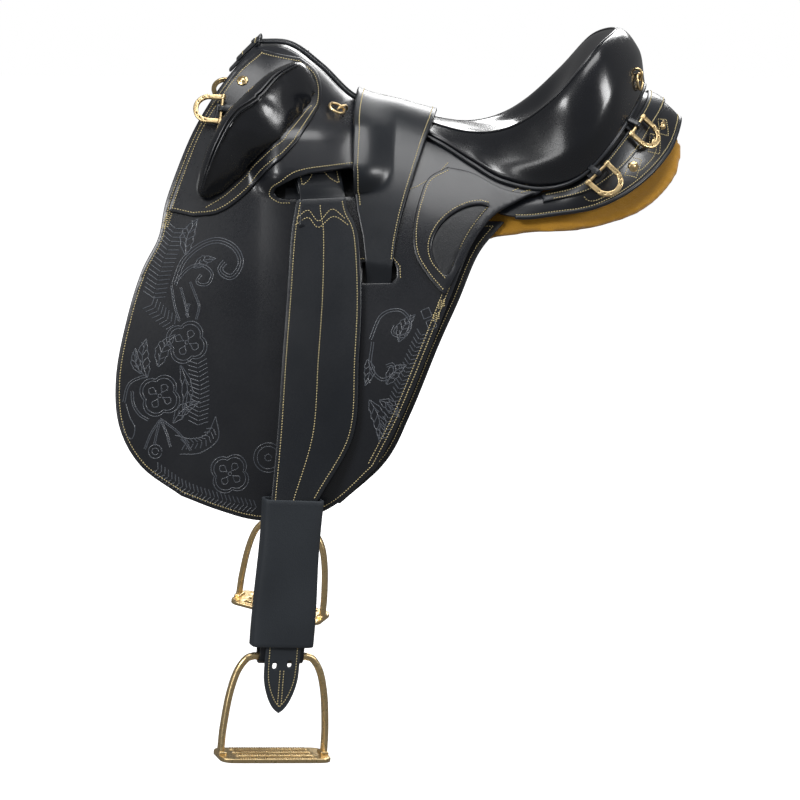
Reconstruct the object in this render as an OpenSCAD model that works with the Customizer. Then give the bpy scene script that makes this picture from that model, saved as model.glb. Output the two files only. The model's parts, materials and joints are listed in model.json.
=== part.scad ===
// Australian stock saddle in tooled black leather, with stirrup fenders and brass irons.
// Frame: +Z up, +X to the rear, +Y to the horse's off (right) side. The origin lies on the
// centre plane, on the line of the horse's spine under the channel between the panels.
// Every paired piece is drawn for the off side and mirrored for the near side.

/* [Leather] */
// Thickness of the flaps, skirts and fenders
leather = 4; // [3.5:0.1:4.2]
// Thickness of the strap leather
strap_t = 3.5; // [3:0.1:3.6]
// Half width of the saddle at its widest
half_width = 228; // [222:1:234]

/* [Stirrup] */
// Width of the stirrup leathers
strap_w = 56; // [50:1:58]
// Inside width of the stirrup iron at the tread
iron_inside = 118; // [110:1:124]
// Depth of the tread, front to back of the foot
tread_depth = 54; // [40:1:60]
// Height from the loop bar of the iron to its tread
iron_height = 119; // [114:1:124]
// Turn of the hanging iron about the vertical
iron_yaw = 20; // [12:1:22]

/* [Hardware] */
// Width of the horseshoe dees over all
dee_w = 38; // [34:1:40]
// Radius of the brass wire of the saddle rings
ring_wire = 1.6; // [1.4:0.1:1.7]
// Diameter of the brass rosettes
rosette_d = 11; // [9:1:12]

/* [Hidden] */

$fn = 32;

black = "#16181c";
brown_wood = "#8a6a42";
grey_leather = "#3a4046";
mustard = "#c98a1c";
brass = "#d4a84a";
steel = "#8c9096";

// ---------------------------------------------------------------- curves

function clamp01(t) = max(0, min(1, t));
function ease(t) = let (c = clamp01(t)) c * c * (3 - 2 * c);
function mix(a, b, t) = a + (b - a) * t;
function unit(v) = v / norm(v);

// Smooth curve through the points of p, t running from 0 at the first to 1 at the last.
function curve(p, t) =
    let (
        last = len(p) - 1,
        u = clamp01(t) * last,
        i = min(last - 1, floor(u)),
        f = u - i,
        b = p[i],
        c = p[i + 1],
        a = i > 0 ? p[i - 1] : 2 * b - c,
        d = i < last - 1 ? p[i + 2] : 2 * c - b
    )
    b + f * ((c - a) / 2 + f * ((a - 2.5 * b + 2 * c - 0.5 * d) + f * (1.5 * (b - c) + 0.5 * (d - a))));

// Height of a profile, a list of [x, z] in rising x, at x.
function profile(p, x) =
    let (
        last = len(p) - 1,
        i = max([for (k = [0 : last - 1]) if (k == 0 || p[k].x <= x) k]),
        h = p[i + 1].x - p[i].x,
        f = clamp01((x - p[i].x) / h),
        a = p[max(0, i - 1)],
        d = p[min(last, i + 2)],
        m0 = (p[i + 1].y - a.y) / (p[i + 1].x - a.x) * h,
        m1 = (d.y - p[i].y) / (d.x - p[i].x) * h
    )
    mix(p[i].y, p[i + 1].y, ease(f)) + f * (1 - f) * ((1 - f) * m0 - f * m1);

// ---------------------------------------------------------------- side of the saddle

// Height of the widest line, and the line of the ridge from pommel to cantle.
wide_z = -230;
ridge_line = [
    [-340, 186], [-260, 190], [-200, 192], [-172, 191], [-134, 188], [-98, 162],
    [-58, 125], [0, 108], [43, 97], [98, 92], [140, 93], [180, 97], [220, 103], [340, 108]
];

// Swell of the leather over the stirrup bar.
bar_x = -89;
bar_z = 70;
bar_cover = 24;

function ridge(x) = profile(ridge_line, x);
function arch_weight(x) = mix(0.36, 0.12, clamp01((x + 160) / 330));
function swell(x, z) = bar_cover * ease((86 - abs(x - bar_x)) / 40) * ease((50 - abs(z - bar_z)) / 32);

// Half width of the base surface at x and z, with the swell where over is 1.
function side_y(x, z, over) =
    let (u = (z - wide_z) / (ridge(x) - wide_z), w = arch_weight(x))
    half_width * ((1 - w) * (u > 0 ? sqrt(max(0, 1 - u * u)) : 1) + w * (1 - u)) + over * swell(x, z);

// Point of the side of the saddle at x and z, moved out by d.
function skin(x, z, d, over = 1) =
    let (
        zc = min(z, ridge(x) - 2.5),
        slope_x = (side_y(x + 1, zc, over) - side_y(x - 1, zc, over)) / 2,
        slope_z = (side_y(x, zc + 1, over) - side_y(x, zc - 1, over)) / 2
    )
    [x, side_y(x, zc, over), zc] + d * unit([-slope_x, 1, -slope_z]);

// Patch of [x, z] between four edges. The edges run front to rear and top to bottom.
function patch(top, bottom, front, rear, s, t) =
    mix(curve(top, s), curve(bottom, s), t) + mix(curve(front, t), curve(rear, t), s)
    - mix(mix(top[0], top[len(top) - 1], s), mix(bottom[0], bottom[len(bottom) - 1], s), t);

function patch_grid(top, bottom, front, rear, n, m, d, over = 1) =
    [for (i = [0 : n]) [for (j = [0 : m])
        let (p = patch(top, bottom, front, rear, i / n, j / m)) skin(p.x, p.y, d, over)]];

// Strip between a front and a rear edge, with straight ends.
function strip_grid(front, rear, n, m, d, over = 1) =
    patch_grid([front[0], rear[0]], [front[len(front) - 1], rear[len(rear) - 1]], front, rear, n, m, d, over);

// ---------------------------------------------------------------- solids from grids

// Closed solid between two grids of points of the same size.
module grid_solid(outer, inner) {
    n = len(outer);
    m = len(outer[0]);
    k = n * m;
    function id(i, j) = i * m + j;
    loop = concat(
        [for (i = [0 : n - 2]) id(i, 0)],
        [for (j = [0 : m - 2]) id(n - 1, j)],
        [for (i = [n - 1 : -1 : 1]) id(i, m - 1)],
        [for (j = [m - 1 : -1 : 1]) id(0, j)]
    );
    faces = concat(
        [for (i = [0 : n - 2], j = [0 : m - 2]) [id(i, j), id(i + 1, j + 1), id(i + 1, j)]],
        [for (i = [0 : n - 2], j = [0 : m - 2]) [id(i, j), id(i, j + 1), id(i + 1, j + 1)]],
        [for (i = [0 : n - 2], j = [0 : m - 2]) [k + id(i, j), k + id(i + 1, j), k + id(i + 1, j + 1)]],
        [for (i = [0 : n - 2], j = [0 : m - 2]) [k + id(i, j), k + id(i + 1, j + 1), k + id(i, j + 1)]],
        [for (e = [0 : len(loop) - 1])
            let (p = loop[e], q = loop[(e + 1) % len(loop)]) [p, q, k + q]],
        [for (e = [0 : len(loop) - 1])
            let (p = loop[e], q = loop[(e + 1) % len(loop)]) [p, k + q, k + p]]
    );
    polyhedron(points = concat([for (row = outer) each row], [for (row = inner) each row]), faces = faces);
}

function total(v) = [for (row = v) 1] * v;

// Closed solid through rings of points, with flat ends, whichever way round the rings run.
module ring_solid(given) {
    first = given[0];
    turn = total([for (j = [1 : len(first) - 2]) cross(first[j] - first[0], first[j + 1] - first[0])]);
    forward = turn * (total(given[1]) / len(first) - total(first) / len(first)) > 0;
    rings = [for (ring = given) forward ? ring : [for (j = [len(ring) - 1 : -1 : 0]) ring[j]]];
    n = len(rings);
    m = len(first);
    function id(i, j) = i * m + j % m;
    faces = concat(
        [for (j = [0 : m - 1]) [id(0, j), id(0, j + 1), n * m]],
        [for (j = [0 : m - 1]) [id(n - 1, j + 1), id(n - 1, j), n * m + 1]],
        [for (i = [0 : n - 2], j = [0 : m - 1]) [id(i, j), id(i + 1, j), id(i + 1, j + 1)]],
        [for (i = [0 : n - 2], j = [0 : m - 1]) [id(i, j), id(i + 1, j + 1), id(i, j + 1)]]
    );
    ends = [total(rings[0]) / m, total(rings[n - 1]) / m];
    polyhedron(points = concat([for (ring = rings) each ring], ends), faces = faces);
}

module mirrored(side) {
    if (side < 0) mirror([0, 1, 0]) children();
    else children();
}

// Puts children in the frame with the given origin and axes.
module in_frame(o, x, y, z) {
    multmatrix([
        [x.x, y.x, z.x, o.x], [x.y, y.y, z.y, o.y], [x.z, y.z, z.z, o.z], [0, 0, 0, 1]
    ]) children();
}

// Point of the arched side of the saddle at x and angle a from the ridge, moved out by d.
function arch_base(x, a, over) =
    let (w = arch_weight(x), z = wide_z + (ridge(x) - wide_z) * cos(a))
    [x, half_width * ((1 - w) * sin(a) + w * sign(a) * (1 - cos(a))) + over * sign(a) * swell(x, z), z];
function arch(x, a, d, over = 0) =
    let (
        along = arch_base(x + 1, a, over) - arch_base(x - 1, a, over),
        across = arch_base(x, a + 1, over) - arch_base(x, a - 1, over)
    )
    arch_base(x, a, over) + d * unit(cross(along, across));

// ---------------------------------------------------------------- flaps and what lies on them

welt_line = [[-46, 112], [0, 97], [45, 80], [88, 58], [126, 40], [150, 35], [176, 33]];
flap_top = [[-176, 186], [-138, 184], [-97, 158], [-58, 121], [0, 99], [45, 82], [87, 60], [123, 43],
    [150, 36], [176, 35]];
flap_front = [[-176, 186], [-200, 160], [-222, 130], [-242, 95], [-258, 56], [-272, 14], [-279, -24],
    [-298, -62], [-314, -115], [-326, -180], [-322, -238], [-296, -284], [-248, -318]];
flap_bottom = [[-248, -318], [-204, -334], [-160, -345], [-110, -344], [-66, -326], [-20, -284]];
flap_rear = [[176, 35], [170, 25], [148, 19], [122, 6], [104, -12], [88, -36], [66, -89], [43, -146],
    [10, -225], [-20, -284]];

// Crescent opening where the stirrup leather comes out.
module leather_slot() {
    translate([0, 260, 0]) rotate([90, 0, 0]) linear_extrude(200)
        polygon([[-142, 27], [-130, 41], [-118, 47], [-102, 51], [-75, 53], [-55, 54], [-44, 52],
            [-39, 46], [-41, 21], [-137, 20]]);
}

// Slot where the overgirth goes under the flap.
module girth_slot() {
    translate([0, 260, 0]) rotate([90, 0, 0]) linear_extrude(200)
        polygon([[-38, -52], [-2, -51], [2, -58], [2, -68], [-3, -74], [-38, -75]]);
}

module flap() {
    color(black) difference() {
        grid_solid(
            patch_grid(flap_top, flap_bottom, flap_front, flap_rear, 26, 26, leather),
            patch_grid(flap_top, flap_bottom, flap_front, flap_rear, 26, 26, 0)
        );
        leather_slot();
        girth_slot();
    }
}

sweat_out = -10.7;
sweat_front = [[-262, 0], [-276, -60], [-298, -115], [-312, -180], [-308, -236], [-284, -280], [-240, -308]];
sweat_rear = [[128, 0], [98, -36], [75, -90], [52, -142], [20, -222], [-9, -278], [-62, -326]];

module sweat_flap() {
    color(black) grid_solid(
        strip_grid(sweat_front, sweat_rear, 10, 12, sweat_out, 0),
        strip_grid(sweat_front, sweat_rear, 10, 12, sweat_out - 2.5, 0)
    );
}

// Rear overlay of the flap, with its half round cut-out.
skirt_in = leather + 0.7;
skirt_top = [[60, 49], [90, 43], [124, 28], [150, 23], [165, 24]];
skirt_front = [[60, 49], [38, 38], [28, 18], [21, -12], [23, -42], [36, -64], [54, -84]];
skirt_bottom = [[54, -84], [57, -86], [60, -88]];
skirt_rear = [[165, 24], [146, 15], [119, 1], [101, -17], [85, -42], [72, -66], [60, -88]];

module skirt() {
    color(black) difference() {
        grid_solid(
            patch_grid(skirt_top, skirt_bottom, skirt_front, skirt_rear, 6, 10, skirt_in + 2.5),
            patch_grid(skirt_top, skirt_bottom, skirt_front, skirt_rear, 6, 10, skirt_in)
        );
        translate([0, 260, 0]) rotate([90, 0, 0]) linear_extrude(200)
            polygon([[110, 8], [98, 10], [80, 6], [62, -4], [49, -18], [43, -34], [47, -50], [62, -66],
                [76, -38], [92, -12]]);
    }
}

facing_front = [[-166, 181], [-192, 160], [-216, 128], [-236, 94], [-251, 56], [-264, 18], [-268, 5]];
facing_rear = [[-122, 172], [-103, 156], [-95, 134], [-99, 112], [-120, 82], [-151, 50], [-182, 20], [-209, 3],
    [-238, -1]];

module knee_facing() {
    color(black) grid_solid(
        strip_grid(facing_front, facing_rear, 8, 16, leather + 4.8),
        strip_grid(facing_front, facing_rear, 8, 16, leather + 2.6)
    );
}

// Knee pad: a wedge that stands out from the facing, with its crest towards the front.
pad_front = [[-126, 166], [-150, 152], [-178, 132], [-203, 104], [-221, 72], [-232, 42], [-236, 22]];
pad_rear = [[-104, 150], [-103, 128], [-118, 104], [-144, 77], [-170, 52], [-198, 28], [-222, 14]];
pad_crest = [[-122, 160], [-141, 136], [-157, 110], [-186, 93], [-204, 68], [-218, 40], [-228, 16]];
pad_rise = [12, 36, 50, 52, 46, 34, 12];

function pad_ring(u) =
    let (
        base = leather + 7.8,
        a = curve(pad_front, u),
        b = curve(pad_rear, u),
        c = curve(pad_crest, u),
        pa = skin(a.x, a.y, base),
        pb = skin(b.x, b.y, base),
        pc = skin(c.x, c.y, base + curve(pad_rise, u), 0)
    )
    concat(
        [pa, mix(pa, pc, 0.5) + 0.12 * (pc - pb), mix(pc, pa, 0.12), mix(pc, pb, 0.12)],
        [mix(pb, pc, 0.5) + 0.04 * (pc - pa), pb],
        [for (k = [1 : 4]) let (p = mix(b, a, k / 5)) skin(p.x, p.y, base)]
    );

module knee_pad() {
    color(black) ring_solid([for (i = [0 : 16]) pad_ring(i / 16)]);
}

// ---------------------------------------------------------------- pommel

module pommel_strip() {
    color(black) grid_solid(
        [for (i = [0 : 8]) [for (j = [0 : 8]) arch(mix(-172, -52, i / 8), mix(-11, 11, j / 8), -1.8)]],
        [for (i = [0 : 8]) [for (j = [0 : 8]) arch(mix(-172, -52, i / 8), mix(-11, 11, j / 8), -4.6)]]
    );
}

// Ends of the front straps, which lie in layers over the front of the pommel.
module pommel_tabs() {
    color(black) for (layer = [0 : 1]) grid_solid(
        [for (i = [0 : 2]) [for (j = [0 : 8]) tab_point(layer, i / 2, j / 8, 3)]],
        [for (i = [0 : 2]) [for (j = [0 : 8]) tab_point(layer, i / 2, j / 8, 0)]]
    );
}
function tab_point(layer, s, t, d) =
    let (x = mix(-207 + 9 * layer, -174, s))
    arch(x, mix(-8.5, 8.5, t), 5.6 + 4 * layer + d) - [0, 0, 0.95 * (-174 - x)];

// ---------------------------------------------------------------- seat

seat_centre = [[-45, 0, 122.5], [-4, 0, 114], [40, 0, 100], [78, 0, 94], [112, 0, 88], [138, 0, 86], [158, 0, 88],
    [176, 0, 93], [188, 0, 99]];
seat_dish = [[-45, 12, 122.3], [-3, 12, 113.5], [41, 17, 99.5], [81, 30, 92.5], [117, 46, 89], [149, 60, 95],
    [180, 68, 112], [206, 52, 140], [226, 0, 152]];
seat_rim = [[-45, 20, 122.5], [-2, 23, 113], [42, 33, 97.5], [84, 58, 90], [122, 88, 95], [158, 112, 114],
    [198, 124, 150], [236, 92, 194], [262, 0, 209]];
seat_side = [[-46, 28, 122.5], [-1, 37, 111], [44, 51, 92.5], [87, 80, 79], [125, 110, 68], [174, 134, 70],
    [220, 144, 98], [260, 106, 158], [290, 0, 186]];
seat_lift = 9.6;
seat_edge = concat(
    [for (p = [welt_line[0], welt_line[1], welt_line[2], welt_line[3], welt_line[4], welt_line[6]])
        skin(p.x, p.y, seat_lift)],
    [[224, 138, 56], [270, 104, 108], [298, 0, 147]]
);

// Curve round the seat, carried past the rear centre by symmetry.
function round_seat(p, s) =
    let (k = len(p), q = p[k - 2]) curve(concat(p, [[q.x, -q.y, q.z]]), s * (k - 1) / k);

function seat_point(s, t) =
    let (
        c = round_seat(seat_centre, s),
        m = round_seat(seat_dish, s),
        row = [[2 * c.x - m.x, -m.y, m.z], c, m, round_seat(seat_rim, s), round_seat(seat_side, s),
            round_seat(seat_edge, s)]
    )
    curve(row, (1 + 4 * t) / 5);

// Point of the seat moved out by d, with s from the front to the rear centre and t from the
// middle of the seat to its lower border.
function seat_skin(s, t, d) =
    let (
        e = 0.01,
        along = seat_point(min(1, s + e), t) - seat_point(max(0, s - e), t),
        across = seat_point(s, min(1, t + e)) - seat_point(s, max(0, t - e)),
        up_along = unit([-along.z, 0, along.x]),
        up_across = unit([-across.z, 0, across.x]),
        n = s == 1 && t == 0 ? up_along + up_across : s == 1 ? up_across : t == 0 ? up_along : cross(along, across)
    )
    seat_point(s, t) + d * unit(n);

// Closed solid of the seat between two depths, out to the fraction reach of each row.
module seat_layer(n, m, d_out, d_in, reach, start) {
    count = n + 1 + (2 * n + 1) * m;
    function id(i, j) = j == 0 ? abs(i) : n + 1 + (i + n) * m + j - 1;
    function place(i, j, d) =
        let (p = seat_skin(mix(1, start, abs(i) / n), reach * j / m, d)) i < 0 ? [p.x, -p.y, p.z] : p;
    points = [for (d = [d_out, d_in]) each concat(
        [for (i = [0 : n]) place(i, 0, d)],
        [for (i = [-n : n], j = [1 : m]) place(i, j, d)]
    )];
    loop = concat(
        [for (i = [-n : n - 1]) id(i, m)],
        [for (j = [m : -1 : 1]) id(n, j)],
        [for (j = [0 : m - 1]) id(-n, j)]
    );
    tris = [for (i = [-n : n - 1], j = [0 : m - 1], h = [0, 1])
        h == 0 ? [id(i, j), id(i + 1, j + 1), id(i, j + 1)] : [id(i, j), id(i + 1, j), id(i + 1, j + 1)]];
    polyhedron(points = points, faces = concat(
        tris,
        [for (f = tris) [count + f[0], count + f[2], count + f[1]]],
        [for (e = [0 : len(loop) - 1])
            let (p = loop[e], q = loop[(e + 1) % len(loop)]) [p, q, count + q]],
        [for (e = [0 : len(loop) - 1])
            let (p = loop[e], q = loop[(e + 1) % len(loop)]) [p, count + q, count + p]]
    ));
}

module seat_cover() {
    color(black) seat_layer(14, 10, 0, -2.2, 1, 0);
}

module seat_foam() {
    color("#c9b98f") seat_layer(13, 7, -5, -12, 0.7, 1 / 14);
}

welt_path = concat(
    [for (p = welt_line) if (p.x != 150) skin(p.x, p.y - 4, leather + 2.8)],
    [for (k = [6 : 8]) seat_edge[k] - [0, 0, 4.4]]
);
function welt_centre(s) = round_seat(welt_path, s);

module seat_welt() {
    n = 26;
    color(black) ring_solid([for (i = [-n : n])
        let (
            s = 1 - abs(i) / n,
            side = i < 0 ? -1 : 1,
            c = welt_centre(s),
            ahead = welt_centre(min(1, s + 0.01)),
            behind = welt_centre(max(0, s - 0.01)),
            run = s == 1 ? [0, -1, 0] : unit(ahead - behind),
            out = unit(cross(run, [0, 0, 1])),
            up = cross(run, out)
        )
        [for (k = [0 : 5])
            let (p = c + 2 * (cos(60 * k) * out + sin(60 * k) * up)) [p.x, side * p.y, p.z]]]);
}

// ---------------------------------------------------------------- back of the saddle

back_top = concat([skin(100, 30, -4, 0), skin(140, 24, -4, 0)],
    [[184, 128, 27], [226, 134, 47], [266, 104, 95], [289, 58, 124], [297, 0, 134]]);
back_edge = concat([skin(100, 12, -4, 0), skin(143, 2, -4, 0)],
    [[190, 143, 4], [240, 140, 13], [288, 114, 36], [326, 68, 70], [342, 0, 102]]);

// Point of the rear skirt: s from the flap to the rear centre, v from the seat to the piping.
function back_point(s, v, d) =
    let (
        a = round_seat(back_top, s),
        b = round_seat(back_edge, s),
        run = s == 1 ? [0, -1, 0] : round_seat(back_top, min(1, s + 0.01)) - round_seat(back_top, max(0, s - 0.01)),
        n = unit(cross(run, b - a))
    )
    mix(a, b, v) + (d + 16 * v * (1 - v) * ease(s / 0.3)) * n;

function back_grid(s0, v0, v1, n, m, d) =
    [for (i = [-n : n]) [for (j = [0 : m])
        let (p = back_point(mix(1, s0, abs(i) / n), mix(v0, v1, j / m), d)) i < 0 ? [p.x, -p.y, p.z] : p]];

module back_layer(s0, v0, v1, n, m, d_out, d_in) {
    grid_solid(back_grid(s0, v0, v1, n, m, d_in), back_grid(s0, v0, v1, n, m, d_out));
}

module rear_skirt() {
    color(black) back_layer(0, 0, 1, 14, 4, 0, -2.6);
}

strap_start = 0.32;

module cantle_strap() {
    color(black) back_layer(strap_start, 0.06, 0.5, 12, 2, 3.6, 0.8);
}

// ---------------------------------------------------------------- panels

panel_in = -16;
panel_rows = [
    [[-178, 148], [-250, 30]], [[-160, 148], [-232, -60]], [[-115, 130], [-160, -112]],
    [[-58, 96], [-70, -105]], [[5, 76], [10, -75]], [[65, 64], [75, -28]], [[130, 58], [148, -10]],
    [[188, 58], [190, -6]]
];
panel_back = [
    [[232, 32, 62], [240, 126, 0]], [[272, 30, 70], [288, 102, 20]], [[304, 27, 80], [322, 62, 54]],
    [[320, 24, 88], [334, 24, 84]]
];

function panel_point(s, t) =
    curve(concat(
        [for (r = panel_rows) let (p = mix(r[0], r[1], t)) skin(p.x, p.y, panel_in, 0)],
        [for (r = panel_back) mix(r[0], r[1], t)]
    ), s);
function panel_depth(s, t) = 10 + 16 * pow(sin(180 * s) * sin(180 * t), 0.35);
function panel_skin(s, t, deep) =
    let (
        e = 0.01,
        along = panel_point(min(1, s + e), t) - panel_point(max(0, s - e), t),
        across = panel_point(s, min(1, t + e)) - panel_point(s, max(0, t - e))
    )
    panel_point(s, t) - deep * panel_depth(s, t) * unit(cross(along, across));

module panel() {
    color(mustard) grid_solid(
        [for (i = [0 : 16]) [for (j = [0 : 6]) panel_skin(i / 16, j / 6, 0)]],
        [for (i = [0 : 16]) [for (j = [0 : 6]) panel_skin(i / 16, j / 6, 1)]]
    );
}

// ---------------------------------------------------------------- tree

// Arched fork under the pommel.
module tree_fork() {
    x = -150;
    function depth(a) = mix(-24, -13.6, ease((abs(a) - 12) / 12));
    outline = concat(
        [for (a = [-42 : 3 : 42]) let (p = arch(x, a, -7.5)) [p.y, p.z]],
        [for (a = [42 : -3 : -42]) let (p = arch(x, a, depth(a))) [p.y, p.z]]
    );
    color(brown_wood) in_frame([x, 0, 0], [0, 1, 0], [0, 0, 1], [1, 0, 0])
        translate([0, 0, -14]) linear_extrude(14) polygon(outline);
}

bar_rail_low = [[-140, 44], [-60, 38], [20, 38], [100, 38], [176, 40]];
bar_rail_high = [[-140, 88], [-60, 80], [20, 72], [100, 66], [176, 68]];

function rail_point(s, t, d) =
    let (p = mix(curve(bar_rail_high, s), curve(bar_rail_low, s), t)) skin(p.x, p.y, d, 0);

module tree_bar() {
    color(brown_wood) grid_solid(
        [for (i = [0 : 14]) [for (j = [0 : 3]) rail_point(i / 14, j / 3, -8.4)]],
        [for (i = [0 : 14]) [for (j = [0 : 3]) rail_point(i / 14, j / 3, -13.8)]]
    );
}

module cantle_board() {
    color(brown_wood) translate([234, 0, 92]) rotate([0, 16, 0]) in_frame([0, 0, 0], [0, 1, 0], [0, 0, 1], [1, 0, 0])
        linear_extrude(8) intersection() {
            translate([-70, 0]) square([140, 84]);
            difference() {
                translate([0, -30]) circle(110, $fn = 64);
                translate([0, -60]) circle(82, $fn = 64);
            }
        }
}

// Frame of the stirrup bar: x along the bar, y out of the saddle, z up.
bar_origin = skin(bar_x, bar_z, 3, 0);
bar_along = unit(skin(bar_x + 38, bar_z, 3, 0) - skin(bar_x - 38, bar_z, 3, 0));
bar_up_guess = unit(skin(bar_x, bar_z + 20, 3, 0) - skin(bar_x, bar_z - 20, 3, 0));
bar_out = unit(cross(bar_up_guess, bar_along)) * (cross(bar_up_guess, bar_along).y > 0 ? 1 : -1);
bar_up = cross(bar_along, bar_out);
bar_r = 3;
lug_x = 50;

module at_bar() {
    in_frame(bar_origin, bar_along, bar_out, bar_up) children();
}

module stirrup_bar() {
    color(steel) at_bar() {
        translate([-lug_x - 3, 0, 0]) rotate([0, 90, 0]) cylinder(r = bar_r, h = 2 * lug_x + 6);
        for (end = [-1, 1]) translate([end * lug_x, 0, 0]) {
            translate([-3, -9.8, -4]) cube([6, 9.8, 8]);
            translate([-7, -9.8, -11]) cube([14, 2, 22]);
        }
    }
}

module bar_rivets() {
    color(steel) for (side = [-1, 1]) mirrored(side) at_bar()
        for (end = [-1, 1], up = [-1, 1]) translate([end * lug_x, -7.6, up * 7.5])
            rotate([-90, 0, 0]) cylinder(r = 2.2, h = 1.2);
}

// ---------------------------------------------------------------- stirrup leathers

// The leathers swing about the stirrup bar. The one on the off side hangs a little forward.
swing_axis = unit([0, 0.9, 0.43]);
off_swing = 3;

module hanging(side) {
    mirrored(side) translate(bar_origin) rotate(side > 0 ? off_swing : 0, swing_axis)
        translate(-bar_origin) children();
}

exit_z = 22;
exit_out = skin(bar_x, exit_z + 0.8, 11.6);
exit_in = skin(bar_x, exit_z + 0.8, 7.4);
function to_bar(p) = [(p - bar_origin) * bar_along, (p - bar_origin) * bar_out, (p - bar_origin) * bar_up];

loop_inner = 4.6;
loop_rise = 6.5;

module leather_loop() {
    a = to_bar(exit_out);
    b = to_bar(exit_in);
    h = strap_t / 2;
    ro = loop_inner + strap_t;
    color(black) at_bar() translate([a.x - strap_w / 2, 0, 0])
        in_frame([0, 0, 0], [0, 1, 0], [0, 0, 1], [1, 0, 0]) linear_extrude(strap_w) polygon(concat(
            [[a.y + h, a.z]],
            [for (t = [0 : 15 : 180]) [ro * cos(t), loop_rise + ro * sin(t)]],
            [[-ro, 0], [b.y - h, a.z], [b.y + h, a.z], [-loop_inner, 0]],
            [for (t = [180 : -15 : 0]) [loop_inner * cos(t), loop_rise + loop_inner * sin(t)]],
            [[loop_inner, 0], [a.y - h, a.z]]
        ));
}

// Frame of the hanging leather: origin on the loop bar of the iron, x along the bar to the
// rear, y out, z up the leather.
hang_origin = [-130, 296, -497];
hang_lean = 3;
hang_rake = 6;

module at_hanger() {
    translate(hang_origin) rotate([hang_lean, hang_rake, -iron_yaw]) children();
}

// Height along Y of the middle of the hanging leather at x and z.
function hang_y(x, z) =
    hang_origin.y - tan(iron_yaw) * (x - hang_origin.x) - tan(hang_lean) * (z - hang_origin.z);

fender_left_edge = [[-118, 17], [-120, 2], [-123, -24], [-126, -90], [-130, -160], [-134, -240], [-140, -318]];
fender_right_edge = [[-62, 17], [-57, 2], [-44, -24], [-38, -90], [-40, -160], [-46, -246], [-86, -318]];
fender_bend = -100;
fender_gap = 9.5;
fender_low = -318;

// The fender lies along the flap, and below the bend it leaves it for the sleeve.
function fender_point(x, z, d) =
    let (
        v = clamp01((fender_bend - z) / (fender_bend - fender_low)),
        spread = hang_y(x, fender_low) - 2 - skin(x, fender_low, fender_gap).y
    )
    skin(x, z, fender_gap + d) + [0, spread * pow(v, 1.5), 0];

function fender_grid(d) =
    [for (i = [0 : 6]) [for (j = [0 : 16])
        let (p = mix(curve(fender_left_edge, j / 16), curve(fender_right_edge, j / 16), i / 6))
        fender_point(p.x, p.y, d)]];

module fender() {
    color(black) grid_solid(fender_grid(leather), fender_grid(0));
}

ply_in = 5;
ply_top = 168;
post_z = 110;
post_x = 12;
post_r = 3;

module stirrup_leather() {
    color(black) at_hanger() difference() {
        translate([-strap_w / 2, 0, 0]) in_frame([0, 0, 0], [0, 1, 0], [0, 0, 1], [1, 0, 0])
            linear_extrude(strap_w) difference() {
                union() {
                    circle(ply_in + strap_t, $fn = 48);
                    translate([-ply_in - strap_t, 0]) square([2 * (ply_in + strap_t), ply_top]);
                }
                circle(ply_in, $fn = 48);
                translate([-ply_in, 0]) square([2 * ply_in, ply_top + 1]);
            }
        for (x = [-post_x, post_x]) translate([x, 0, post_z]) rotate([-90, 0, 0]) cylinder(r = post_r + 0.3, h = 20);
    }
}

module buckle_plate() {
    color(steel) at_hanger() {
        translate([-22, ply_in - 2.2, post_z - 20]) cube([44, 2, 40]);
        for (x = [-post_x, post_x]) translate([x, ply_in - 1, post_z]) rotate([-90, 0, 0]) cylinder(r = post_r, h = strap_t + 0.8);
    }
}

tip_in = ply_in + strap_t + 0.6;
tip_w = 42;
tip_low = -66;
tip_outline = concat(
    [[-tip_w / 2, 150], [-tip_w / 2, -20]],
    [for (k = [1 : 5]) [-tip_w / 2 * (1 - pow(k / 6, 2)), mix(-20, tip_low, k / 6)]],
    [[0, tip_low]],
    [for (k = [5 : -1 : 1]) [tip_w / 2 * (1 - pow(k / 6, 2)), mix(-20, tip_low, k / 6)]],
    [[tip_w / 2, -20], [tip_w / 2, 150]]
);

// Pointed end of the leather, which hangs out of the sleeve in front of the loop.
module strap_tip() {
    color(grey_leather) at_hanger() translate([0, tip_in + strap_t, 0]) rotate([90, 0, 0])
        linear_extrude(strap_t) difference() {
            polygon(tip_outline);
            for (x = [-9, 9]) translate([x, -8 + x / 9]) {
                translate([0, -1.2]) circle(2.8);
                translate([0, 1.2]) circle(2.8);
                translate([-2.8, -1.2]) square([5.6, 2.4]);
            }
        }
}

sleeve_low = 14;
sleeve_top = 186;
sleeve_w = 72;
sleeve_wall = 2.4;
sleeve_back = -ply_in - strap_t - 3.4;
sleeve_front = tip_in + strap_t + 3;

module sleeve_outline(w, y0, y1, r) {
    union() {
        translate([-w / 2 + r, y0]) square([w - 2 * r, y1 - y0]);
        translate([-w / 2, y0 + r]) square([w, y1 - y0 - 2 * r]);
        for (x = [-w / 2 + r, w / 2 - r], y = [y0 + r, y1 - r]) translate([x, y]) circle(r);
    }
}

module leather_sleeve() {
    color(grey_leather) at_hanger() translate([0, 0, sleeve_low]) linear_extrude(sleeve_top - sleeve_low) difference() {
        sleeve_outline(sleeve_w, sleeve_back, sleeve_front, 7);
        sleeve_outline(sleeve_w - 2 * sleeve_wall, sleeve_back + sleeve_wall, sleeve_front - sleeve_wall, 4.6);
    }
}

// ---------------------------------------------------------------- stirrup iron

loop_bar_r = 4.5;
shoulder_x = 33;
tread_t = 5;
leg_path = [[shoulder_x - 1, 0], [shoulder_x + 8, -4], [iron_inside / 2 - 8, -20], [iron_inside / 2 - 1, -48],
    [iron_inside / 2 + 3, -84], [iron_inside / 2 + 3.8, -104], [iron_inside / 2 + 4, 2 - iron_height]];

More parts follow.
